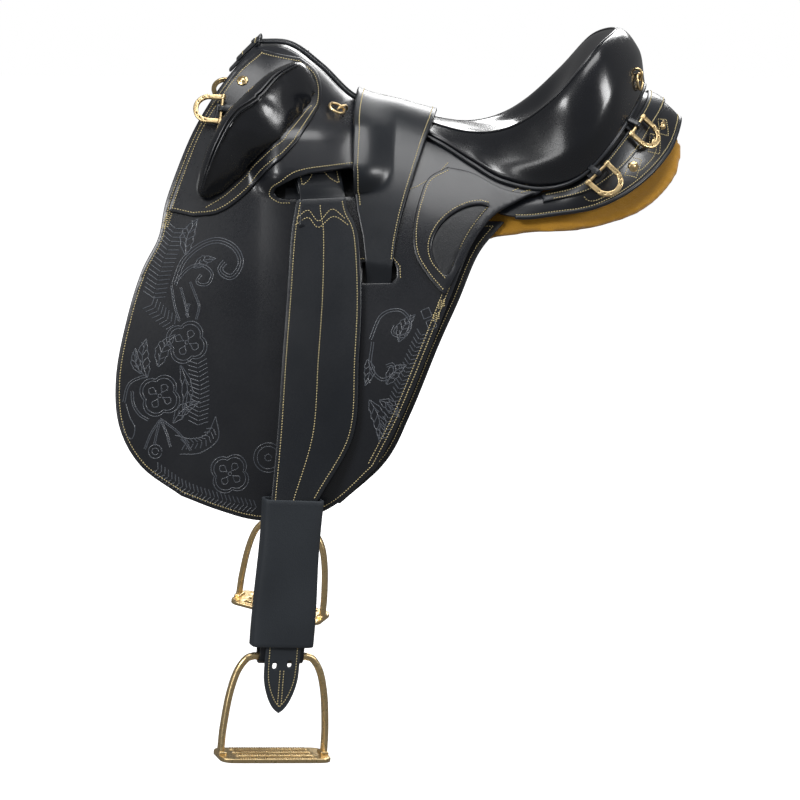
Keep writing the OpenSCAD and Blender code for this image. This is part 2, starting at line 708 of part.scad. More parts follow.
module iron_leg() {
    ring_solid([for (i = [0 : 12])
        let (
            t = i / 12,
            c = curve(leg_path, t),
            run = unit(curve(leg_path, min(1, t + 0.02)) - curve(leg_path, max(0, t - 0.02))),
            thick = mix(4, 3.6, t),
            wide = mix(4.4, 7.5, t)
        )
        [for (k = [0 : 7])
            let (q = thick * cos(45 * k)) [c.x - run.y * q, wide * sin(45 * k), c.y + run.x * q]]]);
}

// Swelling where a leg stands on the tread, flush with the tread's end.
foot_in = 5.4;
foot_w = 17.2;
foot_h = 6;

module iron_foot() {
    tread_end = iron_inside / 2 + 8;
    from = iron_inside / 2 + 4 - foot_in;
    translate([from, -foot_w / 2, -iron_height]) cube([tread_end - from, foot_w, foot_h]);
}

module rounded_plate(w, h, r, t) {
    linear_extrude(t) {
        translate([-w / 2 + r, -h / 2]) square([w - 2 * r, h]);
        if (h > 2 * r) translate([-w / 2, -h / 2 + r]) square([w, h - 2 * r]);
        for (x = [-w / 2 + r, w / 2 - r], y = [-h / 2 + r, h / 2 - r]) translate([x, y]) circle(r);
    }
}

module stirrup_iron() {
    color(brass) at_hanger() {
        translate([-shoulder_x - 1, 0, 0]) rotate([0, 90, 0]) cylinder(r = loop_bar_r, h = 2 * shoulder_x + 2);
        iron_leg();
        mirror([1, 0, 0]) iron_leg();
        iron_foot();
        mirror([1, 0, 0]) iron_foot();
        translate([0, 0, -iron_height - tread_t / 2]) difference() {
            rounded_plate(iron_inside + 16, tread_depth, 15, tread_t);
            for (y = [-0.27, 0, 0.27]) translate([0, y * tread_depth, -1])
                rounded_plate(iron_inside - 22, tread_depth * 0.13, tread_depth * 0.065, tread_t + 2);
        }
    }
}

// ---------------------------------------------------------------- girth straps

billet_w = 30;
billet_top = 34;
billet_bend = -135;
billet_low = -288;

module billet(x) {
    top = skin(x, billet_bend, -4.6, 0);
    low = skin(x, billet_low, -4.6, 0);
    up = unit(top - low);
    across = unit([1, 0, 0] - up.x * up);
    out = cross(up, across);
    difference() {
        union() {
            grid_solid(
                [for (i = [0 : 1]) [for (j = [0 : 9]) billet_point(x, i, j / 9, strap_t / 2 - 0.2)]],
                [for (i = [0 : 1]) [for (j = [0 : 9]) billet_point(x, i, j / 9, 0.2 - strap_t / 2)]]
            );
            in_frame(low, across, out, up)
                translate([-billet_w / 2, -strap_t / 2, 0]) cube([billet_w, strap_t, norm(top - low) + 6]);
        }
        in_frame(low, across, out, up)
            for (k = [0 : 3]) translate([0, -10, 20 + 28 * k]) rotate([-90, 0, 0]) cylinder(r = 3, h = 20);
    }
}

function billet_point(x, i, t, d) =
    let (z = mix(billet_top, billet_bend - 2, t)) skin(x + (i - 0.5) * (billet_w - 1), z, -4.6 + d, 0);

module girth_billets() {
    color(black) {
        billet(-116);
        billet(-76);
    }
}

// Overgirth: over the seat, through the slot in each flap and down under it.
girth_angle = [0, 6, 12, 18, 24, 30, 36, 42, 48, 54, 59.3, 62.6, 65, 72, 79, 86];
girth_front = [-58, -58, -57, -56, -55, -54, -53, -51, -46, -38, -34, -34, -34, -34, -34, -34];
girth_rear = [43, 42, 40, 36, 31, 26, 20, 13, 6, 0, -3, -4, -5, -6, -6, -6];
girth_depth = [11.6, 11.6, 11.6, 11.6, 11.6, 11.4, 10.6, 9, 7, 5.6, 5, -5.2, -7.6, -8, -8, -8];

function girth_row(k, d) =
    let (n = abs(k), a = sign(k) * girth_angle[n])
    [for (j = [0 : 4]) arch(mix(girth_front[n], girth_rear[n], j / 4), a, girth_depth[n] + d, 1)];

module overgirth() {
    last = len(girth_angle) - 1;
    color(black) grid_solid(
        [for (k = [-last : last]) girth_row(k, 0)],
        [for (k = [-last : last]) girth_row(k, strap_t)]
    );
}

// ---------------------------------------------------------------- horseshoe dees

dee_depth = 36;
dee_band = 6;
dee_bar_r = 1.8;
dee_height = 9.2;

// Frames: origin on the bar, x along it, y out of the leather, z away from the horseshoe.
function frame_at(o, along, out) =
    let (x = unit(along), y = unit(out - (out * x) * x)) [o, x, y, cross(x, y)];
function back_frame(s, v) =
    let (
        o = back_point(s, v, dee_height),
        run = back_point(min(1, s + 0.02), v, 0) - back_point(s - 0.02, v, 0),
        down = back_point(s, v + 0.1, 0) - back_point(s, v - 0.1, 0)
    )
    frame_at(o, run, cross(run, down));
front_dee_frame =
    let (o = skin(-208, 114, leather + 10.4), down = skin(-209, 104, 4) - skin(-207, 124, 4))
    frame_at(o, down, skin(-208, 114, 10) - skin(-208, 114, 0));
side_dee_frame = back_frame(0.53, 0.12);
cantle_dee_frame = back_frame(0.72, 0.12);

module at_frame(f) {
    in_frame(f[0], f[1], f[2], f[3]) children();
}

module dee() {
    color(brass) {
        translate([-dee_w / 2 + 2, 0, 0]) rotate([0, 90, 0]) cylinder(r = dee_bar_r, h = dee_w - 4);
        translate([0, 1.6, 0]) rotate([90, 0, 0]) linear_extrude(3) difference() {
            union() {
                translate([0, dee_w / 2 - dee_depth + 2]) circle(dee_w / 2, $fn = 64);
                translate([-dee_w / 2, dee_w / 2 - dee_depth + 2]) square([dee_w, dee_depth - dee_w / 2]);
            }
            translate([0, dee_w / 2 - dee_depth + 2]) circle(dee_w / 2 - dee_band, $fn = 64);
            translate([-dee_w / 2 + dee_band, dee_w / 2 - dee_depth + 2]) square([dee_w - 2 * dee_band, dee_depth]);
        }
    }
}

chape_w = 20;
chape_out = 4.4;
chape_tail = 12;

module chape() {
    translate([-chape_w / 2, 0, 0]) in_frame([0, 0, 0], [0, 1, 0], [0, 0, 1], [1, 0, 0]) linear_extrude(chape_w)
        difference() {
            union() {
                circle(chape_out);
                translate([-chape_out, -chape_tail]) square([2.4, chape_tail]);
            }
            circle(dee_bar_r + 0.3);
        }
}

module dee_chapes() {
    color(black) {
        at_frame(front_dee_frame) chape();
        at_frame(side_dee_frame) chape();
        at_frame(cantle_dee_frame) chape();
    }
}

// ---------------------------------------------------------------- rings and rosettes

ring_r = 9.5;
staple_r = 6.6;
ring_height = ring_wire + 0.9;

pommel_ring_frame =
    let (o = skin(-70, 112, leather + 2), n = skin(-70, 112, 10) - skin(-70, 112, 0),
        ahead = skin(-80, 113, 4) - skin(-60, 111, 4))
    frame_at(o, cross(ahead, n), n);
cantle_ring_frame =
    let (o = seat_skin(0.94, 0.86, 0.3), n = seat_skin(0.94, 0.86, 5) - seat_skin(0.94, 0.86, 0),
        down = seat_skin(0.94, 0.9, 0) - seat_skin(0.94, 0.8, 0))
    frame_at(o, cross(down, n), n);

module saddle_ring() {
    color(brass) translate([0, ring_height, -ring_r]) rotate([90, 0, 0])
        rotate_extrude($fn = 48) translate([ring_r, 0]) circle(ring_wire, $fn = 20);
}

module staple() {
    in_frame([0, 0, 0], [0, 0, 1], [0, 1, 0], [-1, 0, 0])
        rotate_extrude(angle = 180, $fn = 48) translate([staple_r, 0]) circle(ring_wire, $fn = 20);
}

module ring_staples() {
    color(brass) for (side = [-1, 1]) mirrored(side) {
        at_frame(pommel_ring_frame) staple();
        at_frame(cantle_ring_frame) staple();
    }
}

rosette_frames = [
    let (o = skin(-186, 148, leather + 6)) frame_at(o, [1, 0, 0], o - skin(-186, 148, 0)),
    rosette_back(0.66, 0.66),
    rosette_back(0.78, 0.66),
    rosette_back(0.86, 0.62)
];
function rosette_back(s, v) =
    let (o = back_point(s, v, 3)) frame_at(o, [0, 0, 1], back_point(s, v, 5) - back_point(s, v, 0));

module rosettes() {
    color(brass) for (side = [-1, 1], f = rosette_frames) mirrored(side) at_frame(f)
        rotate([-90, 0, 0]) cylinder(r1 = rosette_d / 2, r2 = rosette_d / 2 - 1.5, h = 2.4);
}

// ---------------------------------------------------------------- drawing

tree_fork();
mirrored(-1) tree_bar();  // tree_bar_left
mirrored(1) tree_bar();  // tree_bar_right
cantle_board();
mirrored(-1) stirrup_bar();  // stirrup_bar_left
mirrored(1) stirrup_bar();  // stirrup_bar_right
bar_rivets();
mirrored(-1) panel();  // panel_left
mirrored(1) panel();  // panel_right
seat_foam();
seat_cover();
seat_welt();
pommel_strip();
pommel_tabs();
rear_skirt();
cantle_strap();
mirrored(-1) sweat_flap();  // sweat_flap_left
mirrored(1) sweat_flap();  // sweat_flap_right
mirrored(-1) flap();  // flap_left
mirrored(1) flap();  // flap_right
mirrored(-1) skirt();  // skirt_left
mirrored(1) skirt();  // skirt_right
mirrored(-1) knee_facing();  // knee_facing_left
mirrored(1) knee_facing();  // knee_facing_right
mirrored(-1) knee_pad();  // knee_pad_left
mirrored(1) knee_pad();  // knee_pad_right
overgirth();
mirrored(-1) girth_billets();  // girth_billets_left
mirrored(1) girth_billets();  // girth_billets_right
hanging(-1) leather_loop();  // leather_loop_left
hanging(1) leather_loop();  // leather_loop_right
hanging(-1) fender();  // fender_left
hanging(1) fender();  // fender_right
hanging(-1) stirrup_leather();  // stirrup_leather_left
hanging(1) stirrup_leather();  // stirrup_leather_right
hanging(-1) buckle_plate();  // buckle_plate_left
hanging(1) buckle_plate();  // buckle_plate_right
hanging(-1) leather_sleeve();  // leather_sleeve_left
hanging(1) leather_sleeve();  // leather_sleeve_right
hanging(-1) strap_tip();  // strap_tip_left
hanging(1) strap_tip();  // strap_tip_right
hanging(-1) stirrup_iron();  // stirrup_iron_left
hanging(1) stirrup_iron();  // stirrup_iron_right
mirrored(-1) at_frame(front_dee_frame) dee();  // front_dee_left
mirrored(1) at_frame(front_dee_frame) dee();  // front_dee_right
mirrored(-1) at_frame(side_dee_frame) dee();  // side_dee_left
mirrored(1) at_frame(side_dee_frame) dee();  // side_dee_right
mirrored(-1) at_frame(cantle_dee_frame) dee();  // cantle_dee_left
mirrored(1) at_frame(cantle_dee_frame) dee();  // cantle_dee_right
mirrored(-1) dee_chapes();  // dee_chapes_left
mirrored(1) dee_chapes();  // dee_chapes_right
mirrored(-1) at_frame(pommel_ring_frame) saddle_ring();  // pommel_ring_left
mirrored(1) at_frame(pommel_ring_frame) saddle_ring();  // pommel_ring_right
mirrored(-1) at_frame(cantle_ring_frame) saddle_ring();  // cantle_ring_left
mirrored(1) at_frame(cantle_ring_frame) saddle_ring();  // cantle_ring_right
ring_staples();
rosettes();
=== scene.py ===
# Stock saddle in tooled black leather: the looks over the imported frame.
# Shapes are worked out in millimetres for the off (+Y) side and mirrored for the near side.
import json
import math

import bpy
import numpy as np
from mathutils import Matrix, Vector, geometry


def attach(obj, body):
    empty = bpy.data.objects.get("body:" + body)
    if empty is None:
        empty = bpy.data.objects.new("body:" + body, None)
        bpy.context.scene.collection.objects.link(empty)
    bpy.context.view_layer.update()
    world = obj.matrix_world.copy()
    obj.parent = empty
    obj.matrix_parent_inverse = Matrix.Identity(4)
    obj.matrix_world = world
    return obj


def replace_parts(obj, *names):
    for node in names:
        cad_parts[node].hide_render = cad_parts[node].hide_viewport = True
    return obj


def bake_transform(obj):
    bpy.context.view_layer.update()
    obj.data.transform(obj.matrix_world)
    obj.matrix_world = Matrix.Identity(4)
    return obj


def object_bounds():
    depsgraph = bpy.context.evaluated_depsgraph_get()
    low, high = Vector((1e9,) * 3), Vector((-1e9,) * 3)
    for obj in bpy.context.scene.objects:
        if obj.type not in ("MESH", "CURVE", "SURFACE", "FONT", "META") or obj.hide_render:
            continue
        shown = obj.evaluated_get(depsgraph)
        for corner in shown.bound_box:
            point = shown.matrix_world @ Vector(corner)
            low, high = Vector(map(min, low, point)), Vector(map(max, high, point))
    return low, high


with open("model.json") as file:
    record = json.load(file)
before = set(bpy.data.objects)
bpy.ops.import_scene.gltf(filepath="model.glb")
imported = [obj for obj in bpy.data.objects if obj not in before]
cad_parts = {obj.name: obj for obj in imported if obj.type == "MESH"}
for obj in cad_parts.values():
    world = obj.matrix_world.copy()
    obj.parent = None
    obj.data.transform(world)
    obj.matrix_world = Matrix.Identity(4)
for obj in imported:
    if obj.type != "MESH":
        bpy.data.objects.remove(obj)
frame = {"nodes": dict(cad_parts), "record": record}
cad_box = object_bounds()

MM = 0.001
SIDES = {"left": -1, "right": 1}


# ---------------------------------------------------------------- curves

def clamp01(t):
    return np.clip(t, 0.0, 1.0)


def ease(t):
    c = clamp01(t)
    return c * c * (3 - 2 * c)


def mix(a, b, t):
    return a + (b - a) * t


def unit(v):
    length = np.linalg.norm(v, axis=-1, keepdims=True)
    return v / np.maximum(length, 1e-9)


def vec(*parts):
    """Stacks the parts, numbers or arrays, into an array of vectors."""
    return np.stack(np.broadcast_arrays(*[np.asarray(p, float) for p in parts]), axis=-1)


def curve(points, t):
    """Smooth curve through the points, t from 0 at the first to 1 at the last."""
    p = np.asarray(points, float)
    last = len(p) - 1
    u = clamp01(np.asarray(t, float)) * last
    i = np.minimum(last - 1, np.floor(u)).astype(int)
    f = (u - i)[..., None]
    ghost = np.vstack([2 * p[0] - p[1], p, 2 * p[-1] - p[-2]])
    a, b, c, d = ghost[i], ghost[i + 1], ghost[i + 2], ghost[i + 3]
    cubic = (a - 2.5 * b + 2 * c - 0.5 * d) + f * (1.5 * (b - c) + 0.5 * (d - a))
    return b + f * ((c - a) / 2 + f * cubic)


def profile(points, x):
    p = np.asarray(points, float)
    last = len(p) - 1
    i = np.clip(np.searchsorted(p[:, 0], x, side="right") - 1, 0, last - 1)
    h = p[i + 1, 0] - p[i, 0]
    f = clamp01((x - p[i, 0]) / h)
    a = p[np.maximum(0, i - 1)]
    d = p[np.minimum(last, i + 2)]
    m0 = (p[i + 1, 1] - a[..., 1]) / (p[i + 1, 0] - a[..., 0]) * h
    m1 = (d[..., 1] - p[i, 1]) / (d[..., 0] - p[i, 0]) * h
    return mix(p[i, 1], p[i + 1, 1], ease(f)) + f * (1 - f) * ((1 - f) * m0 - f * m1)


# ---------------------------------------------------------------- the saddle's side, as in the CAD

LEATHER = 4.0
STRAP = 3.5
HALF_WIDTH = 228.0
WIDE_Z = -230.0
RIDGE = [(-340, 186), (-260, 190), (-200, 192), (-172, 191), (-134, 188), (-98, 162), (-58, 125),
         (0, 108), (43, 97), (98, 92), (140, 93), (180, 97), (220, 103), (340, 108)]
BAR_X, BAR_Z, BAR_COVER = -89.0, 70.0, 24.0


def ridge(x):
    return profile(RIDGE, x)


def arch_weight(x):
    return mix(0.36, 0.12, clamp01((x + 160) / 330))


def swell(x, z):
    return BAR_COVER * ease((86 - abs(x - BAR_X)) / 40) * ease((50 - abs(z - BAR_Z)) / 32)


def side_y(x, z, over):
    u = (z - WIDE_Z) / (ridge(x) - WIDE_Z)
    w = arch_weight(x)
    round_part = np.where(u > 0, np.sqrt(np.maximum(0, 1 - u * u)), 1)
    return HALF_WIDTH * ((1 - w) * round_part + w * (1 - u)) + over * swell(x, z)


def skin(x, z, d, over=1):
    x = np.asarray(x, float)
    z = np.asarray(z, float)
    zc = np.minimum(z, ridge(x) - 2.5)
    slope_x = (side_y(x + 1, zc, over) - side_y(x - 1, zc, over)) / 2
    slope_z = (side_y(x, zc + 1, over) - side_y(x, zc - 1, over)) / 2
    normal = unit(vec(-slope_x, 1, -slope_z))
    return vec(x, side_y(x, zc, over), zc) + np.asarray(d, float)[..., None] * normal


def arch_base(x, a, over):
    rad = np.radians(a)
    w = arch_weight(x)
    z = WIDE_Z + (ridge(x) - WIDE_Z) * np.cos(rad)
    out = (1 - w) * np.sin(rad) + w * np.sign(a) * (1 - np.cos(rad))
    return vec(x, HALF_WIDTH * out + over * np.sign(a) * swell(x, z), z)


def arch(x, a, d, over=0):
    """Point at x and angle a from the ridge, moved out by d."""
    x = np.asarray(x, float)
    a = np.asarray(a, float)
    along = arch_base(x + 1, a, over) - arch_base(x - 1, a, over)
    across = arch_base(x, a + 1, over) - arch_base(x, a - 1, over)
    return arch_base(x, a, over) + np.asarray(d, float)[..., None] * unit(np.cross(along, across))


# ---------------------------------------------------------------- frames of what hangs

def rotation(axis, degrees):
    return np.array(Matrix.Rotation(math.radians(degrees), 3, Vector(axis)))


BAR_ORIGIN = skin(BAR_X, BAR_Z, 3, 0)
BAR_ALONG = unit(skin(BAR_X + 38, BAR_Z, 3, 0) - skin(BAR_X - 38, BAR_Z, 3, 0))
BAR_UP_GUESS = unit(skin(BAR_X, BAR_Z + 20, 3, 0) - skin(BAR_X, BAR_Z - 20, 3, 0))
BAR_OUT = unit(np.cross(BAR_UP_GUESS, BAR_ALONG))
BAR_OUT = BAR_OUT * np.sign(BAR_OUT[1])
BAR_UP = np.cross(BAR_ALONG, BAR_OUT)
OFF_SWING = rotation((0, 0.9, 0.43), 3)

HANG_ORIGIN = np.array([-130.0, 296.0, -497.0])
HANG = rotation((0, 0, 1), -20) @ rotation((0, 1, 0), 6) @ rotation((1, 0, 0), 3)


def hanger(x, y, z):
    """Point in the frame of the hanging leather: on the iron's loop bar, x along it, z up the leather."""
    return HANG_ORIGIN + vec(x, y, z) @ HANG.T


def bar_frame(x, y, z):
    return BAR_ORIGIN + vec(x, y, z) @ np.array([BAR_ALONG, BAR_OUT, BAR_UP])


def placed(points, side, hung):
    """Points of the off side moved to the given side, and with the swing of the off stirrup leather."""
    p = np.array(points, float)
    if hung and side > 0:
        p = (p - BAR_ORIGIN) @ OFF_SWING.T + BAR_ORIGIN
    p[:, 1] *= side
    return p


# ---------------------------------------------------------------- making pieces

def add_piece(name, verts, faces, material, body="saddle", side=1, hung=False, slot=None, smooth=True):
    verts = placed(verts, side, hung) * MM
    if side < 0:
        faces = [tuple(reversed(f)) for f in faces]
    mesh = bpy.data.meshes.new(name)
    mesh.from_pydata(verts.tolist(), [], faces)
    mesh.polygons.foreach_set("use_smooth", [smooth] * len(mesh.polygons))
    mesh.materials.append(MATERIALS[material])
    piece = bpy.data.objects.new(name, mesh)
    bpy.context.scene.collection.objects.link(piece)
    if body:
        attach(piece, body)
    return piece


def grid_faces(n, m, offset=0, close=False):
    """Quads of an n by m grid of points, closed round its second way if asked."""
    faces = []
    for i in range(n - 1):
        for j in range(m if close else m - 1):
            k = (j + 1) % m
            faces.append((offset + i * m + j, offset + i * m + k, offset + (i + 1) * m + k, offset + (i + 1) * m + j))
    return faces


def inside(points, loop):
    """Which points lie inside a closed loop."""
    x, y = points[:, 0][:, None], points[:, 1][:, None]
    a, b = loop, np.roll(loop, -1, axis=0)
    crosses = (a[:, 1] > y) != (b[:, 1] > y)
    run = np.where(b[:, 1] == a[:, 1], 1e-9, b[:, 1] - a[:, 1])
    return (np.sum(crosses & (x < (b[:, 0] - a[:, 0]) * (y - a[:, 1]) / run + a[:, 0]), axis=1) % 2) == 1


def distance(points, loops):
    """Distance of each point from the nearest of the closed loops."""
    best = np.full(len(points), 1e9)
    for loop in loops:
        a, b = loop, np.roll(loop, -1, axis=0)
        ab = b - a
        for start in range(0, len(points), 2000):
            p = points[start:start + 2000, None, :]
            t = clamp01(np.sum((p - a) * ab, axis=2) / np.maximum(np.sum(ab * ab, axis=1), 1e-9))
            gap = np.linalg.norm(p - (a + ab * t[..., None]), axis=2).min(axis=1)
            best[start:start + 2000] = np.minimum(best[start:start + 2000], gap)
    return best


def resample(points, step, closed=False):
    p = np.asarray(points, float)
    if closed:
        p = np.vstack([p, p[:1]])
    length = np.concatenate([[0], np.cumsum(np.linalg.norm(np.diff(p, axis=0), axis=1))])
    count = max(2, int(round(length[-1] / step)))
    at = np.linspace(0, length[-1], count + 1)
    if closed:
        at = at[:-1]
    return np.stack([np.interp(at, length, p[:, k]) for k in range(p.shape[1])], axis=1)


def area(loop):
    return 0.5 * np.sum(loop[:, 0] * np.roll(loop[:, 1], -1) - np.roll(loop[:, 0], -1) * loop[:, 1])


def inset(loop, r):
    """Closed loop moved to its left by r: inwards where it runs anticlockwise."""
    run = unit(np.roll(loop, -1, axis=0) - np.roll(loop, 1, axis=0))
    return loop + r * np.stack([-run[:, 1], run[:, 0]], axis=1)


def sheet_mesh(outline, holes, place, top, bottom, spacing=5.0, edge=1.2):
    """Closed sheet of leather or metal over a flat outline. place(x, z, d) gives its points in space."""
    outline = resample(outline, spacing * 0.6, closed=True)
    outline = outline if area(outline) > 0 else outline[::-1]
    loops = [outline]
    for hole in holes:
        hole = resample(hole, min(spacing * 0.5, 2.0), closed=True)
        loops.append(hole if area(hole) < 0 else hole[::-1])
    flat, depth, edges = [], [], []
    for loop in loops:
        first = len(flat)
        flat += loop.tolist()
        depth += [edge] * len(loop)
        edges += [(first + k, first + (k + 1) % len(loop)) for k in range(len(loop))]
    borders = len(flat)
    for share, drop in ((0.35, 0.24), (1.0, 0.0)):
        for loop in loops:
            ring = inset(loop, edge * share)
            keep = distance(ring, loops) > edge * share * 0.8
            flat += ring[keep].tolist()
            depth += [edge * drop] * int(keep.sum())
    low, high = outline.min(axis=0), outline.max(axis=0)
    rows = np.arange(low[1], high[1], spacing * 0.87)
    cells = [(x, z) for r, z in enumerate(rows) for x in np.arange(low[0] + (r % 2) * spacing / 2, high[0], spacing)]
    cells = np.array(cells)
    keep = inside(cells, outline)
    for hole in loops[1:]:
        keep &= ~inside(cells, hole)
    cells = cells[keep]
    cells = cells[distance(cells, loops) > edge + spacing * 0.4]
    flat += cells.tolist()
    depth += [0.0] * len(cells)
    made = geometry.delaunay_2d_cdt([Vector(p) for p in flat], edges, [], 0, 1e-5)
    source = [o[0] if o else -1 for o in made[3]]
    xz = np.array([tuple(v) for v in made[0]])
    drops = np.array([depth[k] if k >= 0 else edge for k in source])
    faces = np.array([tuple(f) for f in made[2]])
    middle = xz[faces].mean(axis=1)
    keep = inside(middle, outline)
    for hole in loops[1:]:
        keep &= ~inside(middle, hole)
    faces = faces[keep]
    ups = place(xz[:, 0], xz[:, 1], top - drops)
    downs = place(xz[:, 0], xz[:, 1], np.full(len(xz), bottom))
    n = len(xz)
    where = {k: i for i, k in enumerate(source) if 0 <= k < borders}
    walls = [(where[b], where[a], n + where[a], n + where[b]) for a, b in edges if a in where and b in where]
    p, q, r = ups[faces[:, 0]], ups[faces[:, 1]], ups[faces[:, 2]]
    facing = np.sum(np.cross(q - p, r - p) * (p - downs[faces[:, 0]]))
    tops = [tuple(f) for f in faces.tolist()]
    backs = [(n + f[0], n + f[2], n + f[1]) for f in faces.tolist()]
    all_faces = tops + backs + walls
    if facing < 0:
        all_faces = [tuple(reversed(f)) for f in all_faces]
    used = sorted({k for f in all_faces for k in f})
    number = {k: i for i, k in enumerate(used)}
    verts = np.vstack([ups, downs])[used]
    return verts, [tuple(number[k] for k in f) for f in all_faces]


def on_surface(points, place, d, step):
    """3D points at even steps along a flat polyline, with the surface's normals there."""
    fine = resample(points, 1.0)
    path = place(fine[:, 0], fine[:, 1], np.full(len(fine), float(d)))
    lift = place(fine[:, 0], fine[:, 1], np.full(len(fine), d + 1.0)) - path
    both = np.hstack([path, lift])
    length = np.concatenate([[0], np.cumsum(np.linalg.norm(np.diff(path, axis=0), axis=1))])
    at = np.linspace(0, length[-1], max(2, int(round(length[-1] / step)) + 1))
    out = np.stack([np.interp(at, length, both[:, k]) for k in range(6)], axis=1)
    return out[:, :3], unit(out[:, 3:])


STITCH_PITCH = 3.2


def stitch_mesh(paths, place, d, pitch=STITCH_PITCH):
    """Rows of stitches, each a small tight bead of thread that dips at its ends."""
    ring = np.linspace(0, 2 * np.pi, 6, endpoint=False)
    along = np.array([-1.15, -0.75, 0.0, 0.75, 1.15])
    wide = np.array([0.16, 0.46, 0.56, 0.46, 0.16])
    dip = np.array([-0.35, 0.0, 0.12, 0.0, -0.35])
    base = np.array([(a, w * np.cos(r), w * np.sin(r) + h) for a, w, h in zip(along, wide, dip) for r in ring])
    quads = grid_faces(5, 6, close=True) + [tuple(range(5, -1, -1)), tuple(range(24, 30))]
    verts, faces = [], []
    for path in paths:
        points, normals = on_surface(path, place, d, pitch / 2)
        if len(points) < 3:
            continue
        middle = points[1::2]
        n = normals[1::2]
        ahead = np.vstack([points[2::2], points[-1:]])[:len(middle)]
        t = unit(ahead - points[0::2][:len(middle)])
        s = np.cross(n, t)
        turned = unit(t + 0.14 * s)
        s = np.cross(n, turned)
        bead = (middle[:, None, :] + base[None, :, 0:1] * turned[:, None, :]
                + base[None, :, 1:2] * s[:, None, :] + base[None, :, 2:3] * n[:, None, :])
        for k in range(len(middle)):
            first = len(verts) * 30
            verts.append(bead[k])
            faces += [tuple(first + q for q in quad) for quad in quads]
    return np.vstack(verts), faces


def groove_mesh(paths, place, d, width=1.0):
    """Tooled lines, raised by the beveller beside them."""
    section = [(-0.85, -0.1), (-0.5, 0.36), (0.0, 0.5), (0.5, 0.36), (0.85, -0.1)]
    verts, faces = [], []
    count = 0
    for path in paths:
        points, normals = on_surface(path, place, d, 1.6)
        if len(points) < 3:
            continue
        t = unit(np.gradient(points, axis=0))
        s = np.cross(normals, t)
        strip = np.stack([points + width * a * s + b * normals for a, b in section], axis=1)
        verts.append(strip.reshape(-1, 3))
        faces += grid_faces(len(points), len(section), count)
        count += len(points) * len(section)
    return np.vstack(verts), faces


def tube_mesh(points, radius, sides=12, closed=False, flat=1.0):
    """Round bar or piping along a path, with domed ends where it is open."""
    p = np.asarray(points, float)
    if closed:
        t = unit(np.roll(p, -1, axis=0) - np.roll(p, 1, axis=0))
    else:
        t = unit(np.gradient(p, axis=0))
    guide = np.array([0.0, 0.0, 1.0]) if abs(t[:, 2]).max() < 0.9 else np.array([0.31, 0.9, 0.3])
    s = unit(np.cross(t, guide))
    n = np.cross(s, t)
    radii = np.full(len(p), float(radius)) if np.isscalar(radius) else np.asarray(radius, float)
    ring = np.linspace(0, 2 * np.pi, sides, endpoint=False)
    cs, sn = np.cos(ring)[None, :, None], np.sin(ring)[None, :, None]
    rings = p[:, None, :] + radii[:, None, None] * (cs * s[:, None, :] + flat * sn * n[:, None, :])
    verts = rings.reshape(-1, 3)
    m = len(p)
    faces = grid_faces(m, sides, close=True)
    if closed:
        faces += [((m - 1) * sides + j, (m - 1) * sides + (j + 1) % sides, (j + 1) % sides, j) for j in range(sides)]
        return verts, faces
    verts = np.vstack([verts, p[0] - t[0] * radii[0] * 0.5, p[-1] + t[-1] * radii[-1] * 0.5])
    for j in range(sides):
        k = (j + 1) % sides
        faces.append((k, j, m * sides))
        faces.append(((m - 1) * sides + j, (m - 1) * sides + k, m * sides + 1))
    return verts, [tuple(reversed(f)) for f in faces]


def strap_mesh(points, across, width, thick):
    """Flat strap with rounded edges along a path. across is the direction of its width."""
    p = np.asarray(points, float)
    t = unit(np.gradient(p, axis=0))
    s = unit(np.broadcast_to(np.asarray(across, float), p.shape))
    n = unit(np.cross(t, s))
    half, h = width / 2, thick / 2
    r = min(h, 1.5)
    section = []
    for cx, cy, start in ((half - r, h - r, 0), (r - half, h - r, 90), (r - half, r - h, 180), (half - r, r - h, 270)):
        for a in (0, 30, 60, 90):
            rad = math.radians(start + a)
            section.append((cx + r * math.cos(rad), cy + r * math.sin(rad)))
    rings = np.stack([p + a * s + b * n for a, b in section], axis=1)
    m = len(section)
    faces = grid_faces(len(p), m, close=True)
    faces += [tuple(range(m - 1, -1, -1)), tuple((len(p) - 1) * m + j for j in range(m))]
    return rings.reshape(-1, 3), [tuple(reversed(f)) for f in faces]


def joined(*meshes):
    verts, faces = [], []
    count = 0
    for v, f in meshes:
        verts.append(np.asarray(v, float))
        faces += [tuple(count + k for k in face) for face in f]
        count += len(v)
    return np.vstack(verts), faces


def circle(cx, cz, r, count=48, start=0.0, turn=360.0):
    a = np.radians(np.linspace(start, start + turn, count, endpoint=turn < 360))
    return np.stack([cx + r * np.cos(a), cz + r * np.sin(a)], axis=1)


# ---------------------------------------------------------------- materials

MATERIALS = {}


